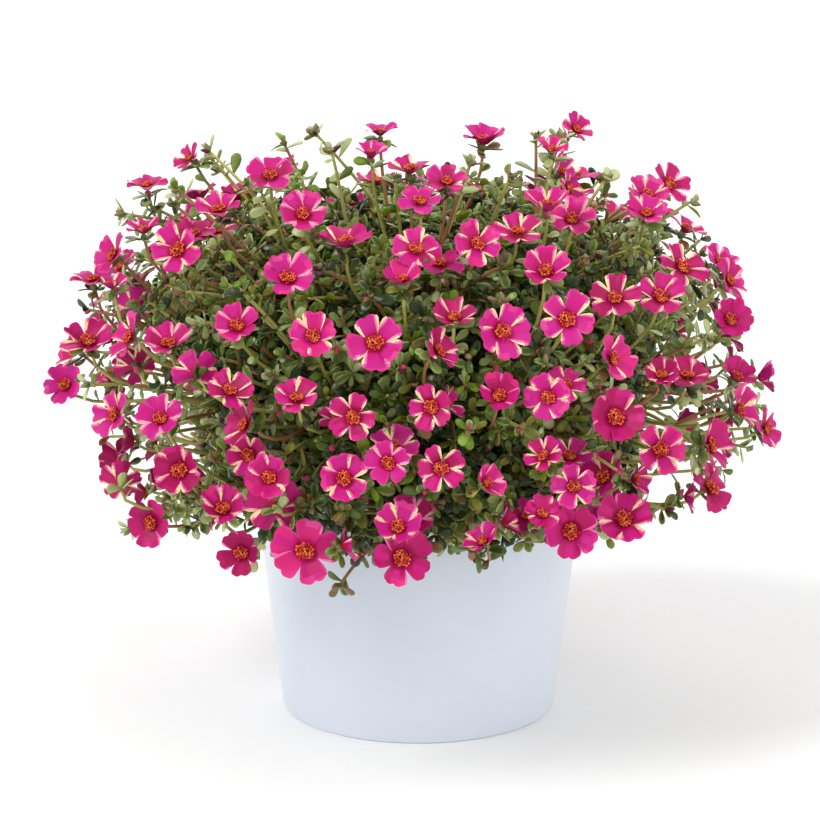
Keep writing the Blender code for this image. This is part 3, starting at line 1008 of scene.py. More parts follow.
def leaf_at(root, ahead, turn, lean, length, chance, tone):
    """A leaf that leaves a stem at an angle and shows its upper face to the stem's end."""
    side = ahead.orthogonal().normalized()
    away = Matrix.Rotation(turn, 3, ahead) @ side
    along = ahead * math.cos(lean) + away * math.sin(lean)
    facing = ahead * math.sin(lean) - away * math.cos(lean)
    roll = Matrix.Rotation(chance.gauss(0.0, LEAF_ROLL_SPREAD), 3, along)
    width = length * chance.uniform(*LEAF_WIDTHS)
    tone = chance.choice((tone, tone, tone, tone, *NEXT_TONES[tone]))
    margin = chance.choice((tone, tone, LIGHTER_MARGIN_AND_SHEEN[tone]))
    return Leaf(root, along, roll @ facing, length, width, chance.uniform(*LEAF_BENDS), tone, margin)


def whorl(route, nodes, chance, tone):
    """Leaves set in a spiral along a shoot: each node is (share, lean, length)."""
    leaves = []
    turn = any_turn(chance)
    for share, lean, length in nodes:
        root, ahead = along_route(route, share)
        turn += LEAF_TURN + chance.gauss(0.0, LEAF_TURN_SPREAD)
        lean = math.radians(lean + chance.gauss(0.0, LEAF_LEAN_SPREAD))
        made = leaf_at(root, ahead, turn, lean, length * chance.uniform(*LEAF_LENGTHS), chance, tone)
        if clears_pot(made.root + made.along * made.length):
            leaves.append(made)
    return leaves


def spray_tone(place, chance):
    """One spray's green: paler ones, painted light, are more frequent near the top and at the open sides.
    """
    outward = from_focus(place)
    high = min(1.0, max(0.0, (place.z - LIT_HEIGHT[0]) / (LIT_HEIGHT[1] - LIT_HEIGHT[0])))
    lit = LIT_TOP * high + (LIT_RIGHT if outward.x > 0.0 else LIT_LEFT) * abs(outward.x) ** 2
    return chance.choice(LIT_TONES if chance.random() < lit else OUTER_TONES)


def leaf_nodes(tip, length, chance):
    """Where the leaves of one shoot stand: (share of its route, lean from it, length)."""
    if tip.kind != "bloom":
        grown = 1.0 if tip.kind == "budded" else tip.size
        leaves = SHOOT_LEAVES[tip.kind]
        return [(1.0 - back / length, lean, size * grown) for back, lean, size in leaves if back < length]
    nodes = []
    for _ in range(COLLAR_LEAVES):
        nodes.append((1.0 - chance.uniform(*COLLAR_BACK) / length, COLLAR_LEAN, COLLAR_LENGTH))
    outward = from_focus(tip.place)
    for back in STALK_BACK:
        if back < length and chance.random() > BARE_SHARE + BARE_AT_SIDES * openness(outward):
            nodes.append((1.0 - back / length, STALK_LEAN, STALK_LENGTH))
    return nodes


def dress_tip(tip, route, chance):
    """The leaves and buds on one shoot."""
    length = sum((after - before).length for before, after in zip(route, route[1:]))
    ahead = (route[-1] - route[-2]).normalized()
    tone = chance.choice(SHADED_INNER_TONES) if tip.kind == "inner" else spray_tone(tip.place, chance)
    leaves = whorl(route, leaf_nodes(tip, length, chance), chance, tone)
    buds = []
    if tip.kind not in BUD_COUNTS:
        return leaves, buds
    for _ in range(chance.choice(BUD_COUNTS[tip.kind])):
        turn = any_turn(chance)
        lean = math.radians(chance.uniform(*BUD_LEANS))
        away = Matrix.Rotation(turn, 3, ahead) @ ahead.orthogonal().normalized()
        along = ahead * math.cos(lean) + away * math.sin(lean)
        root = route[-1] - ahead * (BUD_BACK if tip.kind == "bloom" else 0.0)
        kind = chance.choice(BUD_KINDS)
        buds.append(Bud(root, along, chance.uniform(*BUD_SIZES), kind))
    return leaves, buds


def deselect():
    """Leave nothing selected."""
    bpy.ops.object.select_all(action="DESELECT")


def started(name):
    """Name the form that was just added, apply its placing and go on to edit it."""
    made = bpy.context.object
    made.name = name
    bpy.ops.object.transform_apply(location=True, rotation=True, scale=True)
    bpy.ops.object.mode_set(mode="EDIT")
    return made


def choose(test):
    """In edit mode, select just the points that pass a test, and the faces between them."""
    mesh = bpy.context.object.data
    shape = bmesh.from_edit_mesh(mesh)
    for face in shape.faces:
        face.select_set(False)
    for edge in shape.edges:
        edge.select_set(False)
    for point in shape.verts:
        point.select_set(False)
    for point in shape.verts:
        if test(point.co):
            point.select_set(True)
    shape.select_flush(True)
    bmesh.update_edit_mesh(mesh)


def lofted(name, sides, stations, turned=0.0):
    """A closed form along +Y: a ring is extruded from station to station and drawn in at both ends.

    A station is (distance, half width, half thickness, lift).
    """
    deselect()
    along, width, thickness, lift = stations[0]
    bpy.ops.mesh.primitive_circle_add(
        vertices=sides,
        radius=1.0,
        fill_type="NGON",
        location=(0, along, lift),
        rotation=(math.pi / 2, turned, 0),
    )
    made = started(name)
    bpy.ops.mesh.select_all(action="SELECT")
    bpy.ops.transform.resize(value=(width, 1.0, thickness), center_override=(0, along, lift))
    for before, after in zip(stations, stations[1:]):
        step = (0.0, after[0] - before[0], after[3] - before[3])
        bpy.ops.mesh.extrude_region_move(TRANSFORM_OT_translate={"value": step})
        grown = (after[1] / before[1], 1.0, after[2] / before[2])
        bpy.ops.transform.resize(value=grown, center_override=(0, after[0], after[3]))
    bpy.ops.mesh.merge(type="CENTER")
    choose(lambda place: place.y < along + TOUCHING)
    bpy.ops.mesh.merge(type="CENTER")
    bpy.ops.mesh.select_all(action="SELECT")
    bpy.ops.mesh.normals_make_consistent(inside=False)
    bpy.ops.object.mode_set(mode="OBJECT")
    return made


class Pattern(NamedTuple):
    """A modelled shape as arrays, ready to be copied many times into one mesh."""

    points: np.ndarray
    corners: np.ndarray
    sizes: np.ndarray
    slots: np.ndarray


def pattern_of(made):
    """Read a modelled object as a pattern and remove it."""
    mesh = made.data
    points = np.empty(len(mesh.vertices) * 3)
    mesh.vertices.foreach_get("co", points)
    corners = np.empty(len(mesh.loops), dtype=np.int64)
    mesh.loops.foreach_get("vertex_index", corners)
    sizes = np.empty(len(mesh.polygons), dtype=np.int64)
    mesh.polygons.foreach_get("loop_total", sizes)
    slots = np.empty(len(mesh.polygons), dtype=np.int64)
    mesh.polygons.foreach_get("material_index", slots)
    bpy.data.objects.remove(made, do_unlink=True)
    return Pattern(points.reshape(-1, 3), corners, sizes, slots)


def triangles(pattern):
    """How many triangles one copy has."""
    return int((pattern.sizes - 2).sum())


def new_piece(name, points, corners, sizes, slots, looks):
    """One mesh object from arrays, smooth, with its materials."""
    mesh = bpy.data.meshes.new(name)
    mesh.vertices.add(len(points))
    mesh.vertices.foreach_set("co", np.asarray(points, dtype=np.float32).ravel())
    mesh.loops.add(len(corners))
    mesh.loops.foreach_set("vertex_index", np.asarray(corners, dtype=np.int32))
    mesh.polygons.add(len(sizes))
    starts = np.concatenate([[0], np.cumsum(sizes)[:-1]])
    mesh.polygons.foreach_set("loop_start", np.asarray(starts, dtype=np.int32))
    mesh.polygons.foreach_set("material_index", np.asarray(slots, dtype=np.int32))
    mesh.polygons.foreach_set("use_smooth", np.ones(len(sizes), dtype=bool))
    mesh.update(calc_edges=True)
    mesh.validate()
    for look in looks:
        mesh.materials.append(look)
    made = bpy.data.objects.new(name, mesh)
    bpy.context.scene.collection.objects.link(made)
    return made


def repeated(pattern, places, slots):
    """A pattern made of a copy of another one for each row of places."""
    shift = np.arange(len(places))[:, None] * len(pattern.points)
    corners = (pattern.corners[None, :] + shift).ravel()
    return Pattern(places.reshape(-1, 3), corners, np.tile(pattern.sizes, len(places)), slots.ravel())


def copies(name, pattern, places, slots, looks):
    """One mesh that holds a copy of a pattern for each row of places."""
    return new_piece(name, *repeated(pattern, places, slots), looks)


def arrays(vectors):
    """Vectors as the rows of one array."""
    return np.array([tuple(vector) for vector in vectors])


def unit(rows):
    """Rows made one long."""
    return rows / np.linalg.norm(rows, axis=-1, keepdims=True)


def place_leaves(pattern, leaves):
    """Bend and set a copy of the leaf for each entry."""
    root = arrays(leaf.root for leaf in leaves)
    along = unit(arrays(leaf.along for leaf in leaves))
    facing = arrays(leaf.facing for leaf in leaves)
    across = unit(np.cross(along, facing))
    facing = np.cross(across, along)
    length = np.array([leaf.length for leaf in leaves])[:, None]
    width = np.array([leaf.width for leaf in leaves])[:, None]
    bend = np.array([leaf.bend if abs(leaf.bend) > LEAST_BEND else LEAST_BEND for leaf in leaves])[:, None]
    x = pattern.points[None, :, 0]
    y = pattern.points[None, :, 1]
    z = pattern.points[None, :, 2]
    ahead = length * np.sin(bend * y) / bend
    sunk = length * (1.0 - np.cos(bend * y)) / bend
    wide = width * x
    high = length * z + 0.5 * width * (2.0 * x) ** 2 * LEAF_FOLD - sunk
    places = root[:, None, :] + ahead[..., None] * along[:, None, :]
    places = places + wide[..., None] * across[:, None, :] + high[..., None] * facing[:, None, :]
    tones = np.array([[leaf.tone, leaf.margin] for leaf in leaves])
    return places, tones[:, pattern.slots]


def place_upright(pattern, roots, alongs, sizes, turns):
    """Set a copy of a form that stands along +Y for each root and heading."""
    along = unit(arrays(alongs))
    upright, sideways = np.array([[0.0, 0.0, 1.0]]), np.array([[1.0, 0.0, 0.0]])
    helper = np.where(np.abs(along[:, 2:3]) < STEEP, upright, sideways)
    first = unit(np.cross(along, helper))
    second = np.cross(first, along)
    turn = np.array(turns)[:, None]
    across = first * np.cos(turn) + second * np.sin(turn)
    facing = np.cross(across, along)
    size = np.array(sizes)[:, None, None]
    local = pattern.points[None, :, :] * size
    return (
        arrays(roots)[:, None, :]
        + local[..., 0:1] * across[:, None, :]
        + local[..., 1:2] * along[:, None, :]
        + local[..., 2:3] * facing[:, None, :]
    )


def model_leaf():
    """A fleshy leaf, one unit long and one wide: narrow at its foot, widest past its middle."""
    stations = (
        (0.0, 0.05, 0.030, 0.0),
        (0.22, 0.22, 0.045, 0.0),
        (0.50, 0.44, 0.055, 0.0),
        (0.76, 0.49, 0.050, 0.0),
        (0.94, 0.30, 0.035, 0.0),
        (1.0, 0.08, 0.015, 0.0),
    )
    made = lofted("leaf", 6, stations, math.radians(30))
    # Upper faces out at the sides take the margin tone: a paler rim with painted sheen
    for face in made.data.polygons:
        face.material_index = 1 if abs(face.center.x) > LEAF_MARGIN and face.center.z > 0.0 else 0
    return pattern_of(made)


def model_shaded_leaf():
    """A plainer leaf for the shade inside the crown."""
    stations = (
        (0.0, 0.05, 0.030, 0.0),
        (0.34, 0.34, 0.050, 0.0),
        (0.80, 0.44, 0.045, 0.0),
        (1.0, 0.10, 0.015, 0.0),
    )
    return pattern_of(lofted("shaded_leaf", 6, stations, math.radians(30)))


def model_bud():
    """A pointed bud, one unit long: green sepals with a paler tip."""
    stations = (
        (0.0, 0.14, 0.14, 0.0),
        (0.22, 0.27, 0.24, 0.0),
        (0.50, 0.28, 0.24, 0.0),
        (0.80, 0.15, 0.13, 0.0),
        (1.0, 0.03, 0.03, 0.0),
    )
    made = lofted("bud", 6, stations)
    for face in made.data.polygons:
        face.material_index = 1 if face.center.y > BUD_TIP else 0
    return pattern_of(made)


def model_withered():
    """A spent bloom: its petals dried and twisted to a dark point."""
    stations = (
        (0.0, 0.12, 0.12, 0.0),
        (0.25, 0.20, 0.16, 0.02),
        (0.50, 0.15, 0.20, 0.05),
        (0.75, 0.13, 0.08, 0.04),
        (1.0, 0.04, 0.03, 0.10),
    )
    return pattern_of(lofted("withered", 6, stations))


def model_calyx():
    """The green cup under a bloom, one unit long."""
    stations = (
        (-0.15, 0.20, 0.20, 0.0),
        (0.10, 0.36, 0.36, 0.0),
        (0.55, 0.46, 0.46, 0.0),
        (1.0, 0.40, 0.40, 0.0),
    )
    return pattern_of(lofted("calyx", 6, stations))


PETAL_ROWS = (
    # share of the length, half width, drop of the outer edge, inner edges of the band and the margin
    (0.00, 0.100, 0.000, 0.90, 0.97),
    (0.14, 0.170, 0.000, 0.86, 0.95),
    (0.28, 0.240, 0.000, 0.80, 0.92),
    (0.43, 0.300, 0.000, 0.72, 0.88),
    (0.58, 0.350, 0.005, 0.66, 0.83),
    (0.73, 0.385, 0.020, 0.64, 0.80),
    (0.88, 0.370, 0.050, 0.72, 0.88),
    (1.00, 0.235, 0.055, 0.66, 0.86),
)
PETAL_COLUMNS = 8
PETAL_NOTCH = (0.085, 0.030)
# How near a grid point of the petal is to its place, and half of how far one that is set is lifted
NEAR_PLACE = 0.01
HALF_LIFT = 0.5


def model_petal():
    """A broad petal with a notched tip, one unit long: a grid whose points are set row by row.

    A point that is set is lifted out of the way of the ones still to be chosen.
    """
    deselect()
    rows = len(PETAL_ROWS) - 1
    bpy.ops.mesh.primitive_grid_add(
        x_subdivisions=PETAL_COLUMNS, y_subdivisions=rows, size=1.0, location=(0.0, 0.5, 0.0)
    )
    made = started("petal")
    bpy.ops.mesh.select_mode(type="VERT")
    half = PETAL_COLUMNS // 2
    lift = 2.0 * HALF_LIFT
    for row in range(rows, -1, -1):
        share, width, drop, band, margin = PETAL_ROWS[row]
        height = row / rows
        for column, out in enumerate((0.0, 0.5 * band, band, margin, 1.0)):
            place = 0.5 * column / half
            notch = PETAL_NOTCH[column] if row == rows and column < len(PETAL_NOTCH) else 0.0
            rise = share - height - drop * out**2 - notch
            choose(
                lambda co: abs(abs(co.x) - place) < NEAR_PLACE
                and abs(co.y - height) < NEAR_PLACE
                and co.z < HALF_LIFT
            )
            bpy.ops.transform.translate(value=(0.0, rise, lift))
            if column:
                bpy.ops.transform.resize(value=(width * out / place, 1.0, 1.0), center_override=(0, 0, 0))
    bpy.ops.mesh.select_all(action="SELECT")
    bpy.ops.transform.translate(value=(0.0, 0.0, -lift))
    bpy.ops.object.mode_set(mode="OBJECT")
    return pattern_of(made)


def model_stamen():
    """One stamen along +Y: a thin filament (0) that ends in a plump anther (1)."""
    deselect()
    bpy.ops.mesh.primitive_cone_add(
        vertices=3,
        radius1=FILAMENT_RADII[0],
        radius2=FILAMENT_RADII[1],
        depth=FILAMENT_LENGTH,
        end_fill_type="NOTHING",
        location=(0.0, FILAMENT_LENGTH / 2.0, 0.0),
        rotation=(-math.pi / 2, 0.0, 0.0),
    )
    filament = bpy.context.object
    deselect()
    place = (0.0, ANTHER_PLACE, 0.0)
    bpy.ops.mesh.primitive_uv_sphere_add(segments=3, ring_count=3, radius=ANTHER_RADIUS, location=place)
    anther = bpy.context.object
    bpy.ops.object.mode_set(mode="EDIT")
    bpy.ops.transform.resize(value=ANTHER_STRETCH, center_override=place)
    bpy.ops.object.mode_set(mode="OBJECT")
    anther_points = len(anther.data.vertices)
    filament.select_set(True)
    bpy.context.view_layer.objects.active = filament
    bpy.ops.object.join()
    bpy.ops.object.transform_apply(location=True, rotation=True, scale=True)
    first_anther = len(filament.data.vertices) - anther_points
    for face in filament.data.polygons:
        face.material_index = 1 if min(face.vertices) >= first_anther else 0
    return pattern_of(filament)


def model_heart(stamen):
    """The middle of a bloom: stamens in a spiral dome, one unit in radius, along +Y."""
    chance = random.Random("heart")
    roots = []
    alongs = []
    sizes = []
    turns = []
    for number in range(STAMENS):
        out = math.sqrt((number + 0.5) / STAMENS)
        turn = LEAF_TURN * number
        spoke = Vector((math.cos(turn), 0.0, math.sin(turn)))
        lean = STAMEN_LEAN * out + chance.gauss(0.0, STAMEN_SPREAD)
        roots.append(spoke * out * STAMEN_ROOTS)
        alongs.append(Vector((0.0, 1.0, 0.0)) * math.cos(lean) + spoke * math.sin(lean))
        sizes.append(chance.uniform(*STAMEN_LENGTHS))
        turns.append(any_turn(chance))
    places = place_upright(stamen, roots, alongs, sizes, turns)
    tones = np.array([chance.choice(ANTHER_TONES) for _ in range(STAMENS)])
    return repeated(stamen, places, np.where(stamen.slots[None, :] == 1, tones[:, None], 0))


# Colours of petals and of the heart, face by face; the rim tone is partly, and the soft and highlight
# tones wholly, painted highlight
PETAL_PAINTS = {
    "petal_magenta": (186, 18, 115),
    "petal_dark": (156, 14, 80),
    "petal_violet": (184, 26, 124),
    "petal_rose": (198, 30, 110),
    "petal_inner": (174, 16, 94),
    "petal_rim": (202, 46, 124),
    "petal_soft": (203, 62, 136),
    "petal_light": (226, 104, 162),
    "petal_cream": (240, 204, 158),
    "petal_blush": (236, 158, 172),
    "petal_throat": (166, 18, 52),
}
MAGENTA, DARK, VIOLET, ROSE, INNER, RIM_AND_HIGHLIGHT, SOFT_HIGHLIGHT, HIGHLIGHT, CREAM, BLUSH, THROAT = range(len(PETAL_PAINTS))
BODY_TONES = (MAGENTA, MAGENTA, INNER, INNER, DARK, VIOLET, ROSE)
STREAK_TONES = (CREAM, CREAM, CREAM, BLUSH)
DEEPER_TONE = {MAGENTA: INNER, DARK: DARK, VIOLET: MAGENTA, ROSE: MAGENTA, INNER: DARK}
# A petal's middle may take a lighter tone: painted highlight
MIDDLE_HIGHLIGHT_TONE = {MAGENTA: VIOLET, DARK: INNER, VIOLET: MAGENTA, ROSE: MAGENTA, INNER: MAGENTA}
OWN_TONE = {MAGENTA: INNER, ROSE: MAGENTA}
# Lighter rim tones for dark petals: a paler rim that is partly painted highlight
RIM_AND_HIGHLIGHT_TONES = {DARK: (INNER, MAGENTA), INNER: (MAGENTA, ROSE)}
HEART_PAINTS = {
    "filament_red": (150, 24, 34),
    "anther_orange": (226, 110, 60),
    "anther_red": (184, 54, 46),
    "anther_yellow": (240, 166, 100),
}
# Slots of HEART_PAINTS: more anthers are orange or red than yellow
ANTHER_TONES = (1, 1, 2, 2, 3)


def petal_tones(body, pale, strength, chance):
    """The tones of one petal, row by row: pale streaks come and go along its two margins, beside painted
    highlights.
    """
    rows = len(PETAL_ROWS) - 1
    tones = np.full((rows, PETAL_COLUMNS), body)
    last = PETAL_COLUMNS - 1
    tones[1 : chance.choice((2, 3, 4, 5)), 2 : last - 1] = DEEPER_TONE[body]
    if chance.random() < THROAT_CHANCE:
        tones[1, 1:last] = THROAT
    # A painted highlight in the petal's middle
    if chance.random() < MIDDLE_HIGHLIGHT_CHANCE:
        tones[3:6, 3:5] = MIDDLE_HIGHLIGHT_TONE[body]
    rim, soft = RIM_AND_HIGHLIGHT_TONES.get(body, (RIM_AND_HIGHLIGHT, SOFT_HIGHLIGHT))
    # A lighter rim: partly the petal's own colour, partly painted highlight
    if chance.random() < RIM_AND_HIGHLIGHT_CHANCE:
        tones[rows - 1, chance.choice((0, 0, 1, 2, 3)) : chance.choice((5, 6, 7, 8, 8))] = rim
    # A painted highlight patch near the tip
    if chance.random() < HIGHLIGHT_PATCH_CHANCE:
        first = chance.choice((0, 1, 2, 3))
        tones[rows - 2 :, first : first + chance.choice((2, 3, 4))] = chance.choice((rim, rim, soft))
    for margin, band in ((0, 1), (last, last - 1)):
        if chance.random() > strength:
            # A margin without a streak takes a lighter tone: partly a paler rim, partly painted highlight
            tones[chance.choice((2, 4)) :, margin] = chance.choice((rim, rim, soft, HIGHLIGHT))
            continue
        inner_end = chance.choice((1, 1, 1, 2))
        outer_end = chance.choice((5, 5, 6))
        tones[inner_end:outer_end, margin] = pale
        tones[inner_end, margin] = BLUSH
        # Lighter faces beside the streak and at its end: painted highlight
        tones[inner_end + 1 : outer_end, band] = chance.choice((pale, pale, BLUSH, HIGHLIGHT, SOFT_HIGHLIGHT))
        tones[outer_end - 1, band] = HIGHLIGHT
        tones[outer_end, margin] = HIGHLIGHT
        tones[outer_end, band] = SOFT_HIGHLIGHT
    tones[0, :] = THROAT
    return tones.ravel()


def place_petals(pattern, blooms, chance):
    """Bend and set five copies of the petal for each bloom, and deal out their colours."""
    rows = []
    slots = []
    for tip in blooms:
        facing = tip.facing
        first = facing.orthogonal().normalized()
        second = facing.cross(first)
        spin = any_turn(chance)
        cup = math.radians(min(MOST_CUP, chance.gauss(*PETAL_CUP)))
        flat = math.radians(chance.gauss(*PETAL_FLAT))
        lap = chance.choice((-1.0, 1.0)) * chance.uniform(*PETAL_LAP)
        wide = chance.uniform(*BLOOM_WIDTHS)
        body = chance.choice(BODY_TONES)
        pale = chance.choice(STREAK_TONES)
        strength = PLAIN_STREAKS if tip.plain else chance.choice(STREAKS)
        for petal in range(PETALS):
            turn = spin + FULL_TURN * petal / PETALS + chance.gauss(0.0, PETAL_TURN_SPREAD)
            x = pattern.points[:, 0] * wide * chance.uniform(*PETAL_WIDTHS)
            y = pattern.points[:, 1]
            tip_angle = flat + chance.gauss(0.0, TIP_ANGLE_SPREAD)
            curl = cup - tip_angle if abs(cup - tip_angle) > LEAST_CURL else LEAST_CURL
            angle = cup - curl * y
            long = tip.size * PETAL_LENGTH * chance.uniform(*PETAL_LENGTHS)
            out = long * (math.sin(cup) - np.sin(angle)) / curl + tip.size * PETAL_ROOT
            high = long * (np.cos(angle) - math.cos(cup)) / curl
            phase = any_turn(chance)
            ruffle = chance.uniform(*PETAL_RUFFLE) * np.sin(RUFFLE_WAVES * x + phase)
            camber = chance.uniform(*PETAL_CAMBER)
            high = high + long * (camber * x**2 + lap * x * y + ruffle * y**2)
            spoke = first * math.cos(turn) + second * math.sin(turn)
            across = facing.cross(spoke)
            rows.append(
                np.array(tip.place - facing * PETAL_SUNK)[None, :]
                + out[:, None] * np.array(spoke)[None, :]
                + (x * long)[:, None] * np.array(across)[None, :]
                + high[:, None] * np.array(facing)[None, :]
            )
            own = chance.choice((body, body, body, OWN_TONE.get(body, body)))
            slots.append(petal_tones(own, pale, strength, chance))
    return np.array(rows), np.array(slots)


def tube(shoot):
    """A closed tapering tube: its ring corners and faces."""
    points = shoot.route
    corners = []
    normal = (points[1] - points[0]).orthogonal().normalized()
    last = len(points) - 1
    for index, point in enumerate(points):
        tangent = (points[min(index + 1, last)] - points[max(index - 1, 0)]).normalized()
        normal = (normal - tangent * normal.dot(tangent)).normalized()
        side = tangent.cross(normal)
        radius = shoot.first_radius + (shoot.last_radius - shoot.first_radius) * index / last
        for corner in range(shoot.sides):
            angle = FULL_TURN * corner / shoot.sides
            corners.append(point + (normal * math.cos(angle) + side * math.sin(angle)) * radius)
    sides = shoot.sides
    faces = [list(range(sides))[::-1], list(range(last * sides, (last + 1) * sides))]
    for ring in range(last):
        for corner in range(sides):
            following = (corner + 1) % sides
            low, high = ring * sides, (ring + 1) * sides
            faces.append([low + corner, low + following, high + following, high + corner])
    return corners, faces


def place_stems(name, shoots, tones, looks):
    """All stems as one mesh."""
    points = []
    corners = []
    sizes = []
    slots = []
    for shoot, tone in zip(shoots, tones):
        ring, faces = tube(shoot)
        start = len(points)
        points.extend(tuple(corner) for corner in ring)
        for face in faces:
            corners.extend(start + corner for corner in face)
            sizes.append(len(face))
            slots.append(tone)
    return new_piece(name, np.array(points), np.array(corners), np.array(sizes), np.array(slots), looks)


def nodes_named(start):
    """The nodes whose names start alike, in the pack's order."""
    return [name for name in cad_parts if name.startswith(start)]


def build_pot():
    """The pot: a tapered round solid, hollowed from its top, with soft edges."""
    deselect()
    bpy.ops.mesh.primitive_cone_add(
        vertices=POT_SIDES,
        radius1=POT_BASE_RADIUS,
        radius2=POT_TOP_RADIUS,
        depth=POT_HEIGHT,
        location=(0.0, 0.0, POT_HEIGHT / 2.0),
    )
    pot = started("white_pot")
    bpy.ops.mesh.select_mode(type="FACE")
    choose(lambda place: place.z > POT_HEIGHT - LEVEL)
    inner = (POT_TOP_RADIUS - POT_WALL) / POT_TOP_RADIUS
    bpy.ops.mesh.inset(thickness=POT_WALL)
    bpy.ops.mesh.extrude_region_move(TRANSFORM_OT_translate={"value": (0.0, 0.0, POT_FLOOR - POT_HEIGHT)})
    floor_radius = POT_BASE_RADIUS - POT_WALL + (POT_TOP_RADIUS - POT_BASE_RADIUS) * POT_FLOOR / POT_HEIGHT
    shrink = floor_radius / (POT_TOP_RADIUS * inner)
    bpy.ops.transform.resize(value=(shrink, shrink, 1.0), center_override=(0.0, 0.0, POT_FLOOR))
    bpy.ops.object.mode_set(mode="OBJECT")
    soft = pot.modifiers.new("Soft edges", "BEVEL")
    soft.width = POT_EDGE
    soft.segments = POT_EDGE_STEPS
    soft.limit_method = "ANGLE"
    soft.angle_limit = POT_EDGE_ANGLE
    bpy.ops.object.modifier_apply(modifier=soft.name)
    bpy.ops.object.shade_smooth_by_angle(angle=POT_SMOOTH_ANGLE)
    whites = (paint(205, 213, 225), paint(212, 219, 230))
    look = mottled_finish("white_glaze", whites, 0.12, gloss=(0.30, 0.42), grain=0.004, relief=0.00003)
    coat(look, *GLAZE_COAT)
    pot.data.materials.append(look)
    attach(pot, "root")
    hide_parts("pot")


def build_soil():
    """The soil: a disc in the pot whose top is drawn in ring by ring and made lumpy."""
    deselect()
    bottom = POT_FLOOR + GAP
    inset = POT_WALL + 3.0 * GAP
    taper = (POT_TOP_RADIUS - POT_BASE_RADIUS) / POT_HEIGHT
    low, high = (POT_BASE_RADIUS + taper * height - inset for height in (bottom, SOIL_TOP))
    bpy.ops.mesh.primitive_cone_add(
        vertices=SOIL_SIDES,
        radius1=low,
        radius2=high,
        depth=SOIL_TOP - bottom,
        location=(0.0, 0.0, (SOIL_TOP + bottom) / 2.0),
    )
    soil = started("dark_soil")
    bpy.ops.mesh.select_mode(type="FACE")
    choose(lambda place: place.z > SOIL_TOP - LEVEL)
    for _ in range(SOIL_RINGS):
        bpy.ops.mesh.inset(thickness=high / (SOIL_RINGS + 1.0))
    bpy.ops.mesh.merge(type="CENTER")
    bpy.ops.object.mode_set(mode="OBJECT")
    top = soil.vertex_groups.new(name="top")
    top.add([point.index for point in soil.data.vertices if point.co.z > SOIL_TOP - LEVEL], 1.0, "REPLACE")
    lumps = bpy.data.textures.new("lumps", "CLOUDS")
    lumps.noise_scale = LUMP_SIZE
    lumpy = soil.modifiers.new("Lumps", "DISPLACE")
    lumpy.texture = lumps
    lumpy.direction = "Z"
    lumpy.strength = LUMP_HEIGHT
    lumpy.mid_level = LUMP_LEVEL
    lumpy.vertex_group = "top"
    bpy.ops.object.modifier_apply(modifier=lumpy.name)
    bpy.ops.object.shade_smooth_by_angle(angle=SMOOTH_ANGLE)
    browns = (paint(38, 28, 20), paint(74, 56, 40))
    look = mottled_finish("potting_soil", browns, 0.004, gloss=(0.85, 1.0), grain=0.0015, relief=0.0012)
    soil.data.materials.append(look)
    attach(soil, "root")
    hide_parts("soil")


def trunk_profile(foot):
    """(radius, height) of the stem base's rings: its flare, then its domed head."""
    profile = []
    for ring in range(TRUNK_RINGS + 1):
        share = ring / TRUNK_RINGS
        profile.append((TRUNK_RADIUS + TRUNK_FLARE * (1.0 - share) ** 2, foot + (FOCUS.z - foot) * share))
    for ring in range(1, DOME_RINGS + 1):
        angle = 0.5 * math.pi * ring / (DOME_RINGS + 0.5)
        profile.append((TRUNK_RADIUS * math.cos(angle), FOCUS.z + TRUNK_RADIUS * math.sin(angle)))
    return profile


def model_limb(cell):
    """One bough: a curve with a tapering round section and closed ends."""
    route = bough_route(cell)
    data = bpy.data.curves.new(f"limb {cell.name}", "CURVE")
    data.dimensions = "3D"
    data.bevel_depth = BOUGH_RADIUS
    data.bevel_resolution = BOUGH_ROUNDNESS
    data.use_fill_caps = True
    spline = data.splines.new("POLY")
    spline.points.add(len(route) - 1)
    for index, (point, place) in enumerate(zip(spline.points, route)):
        point.co = (*place, 1.0)
        point.radius = 1.0 + (BOUGH_TAPER - 1.0) * index / (len(route) - 1)
    limb = bpy.data.objects.new(f"limb {cell.name}", data)
    bpy.context.scene.collection.objects.link(limb)
    return limb


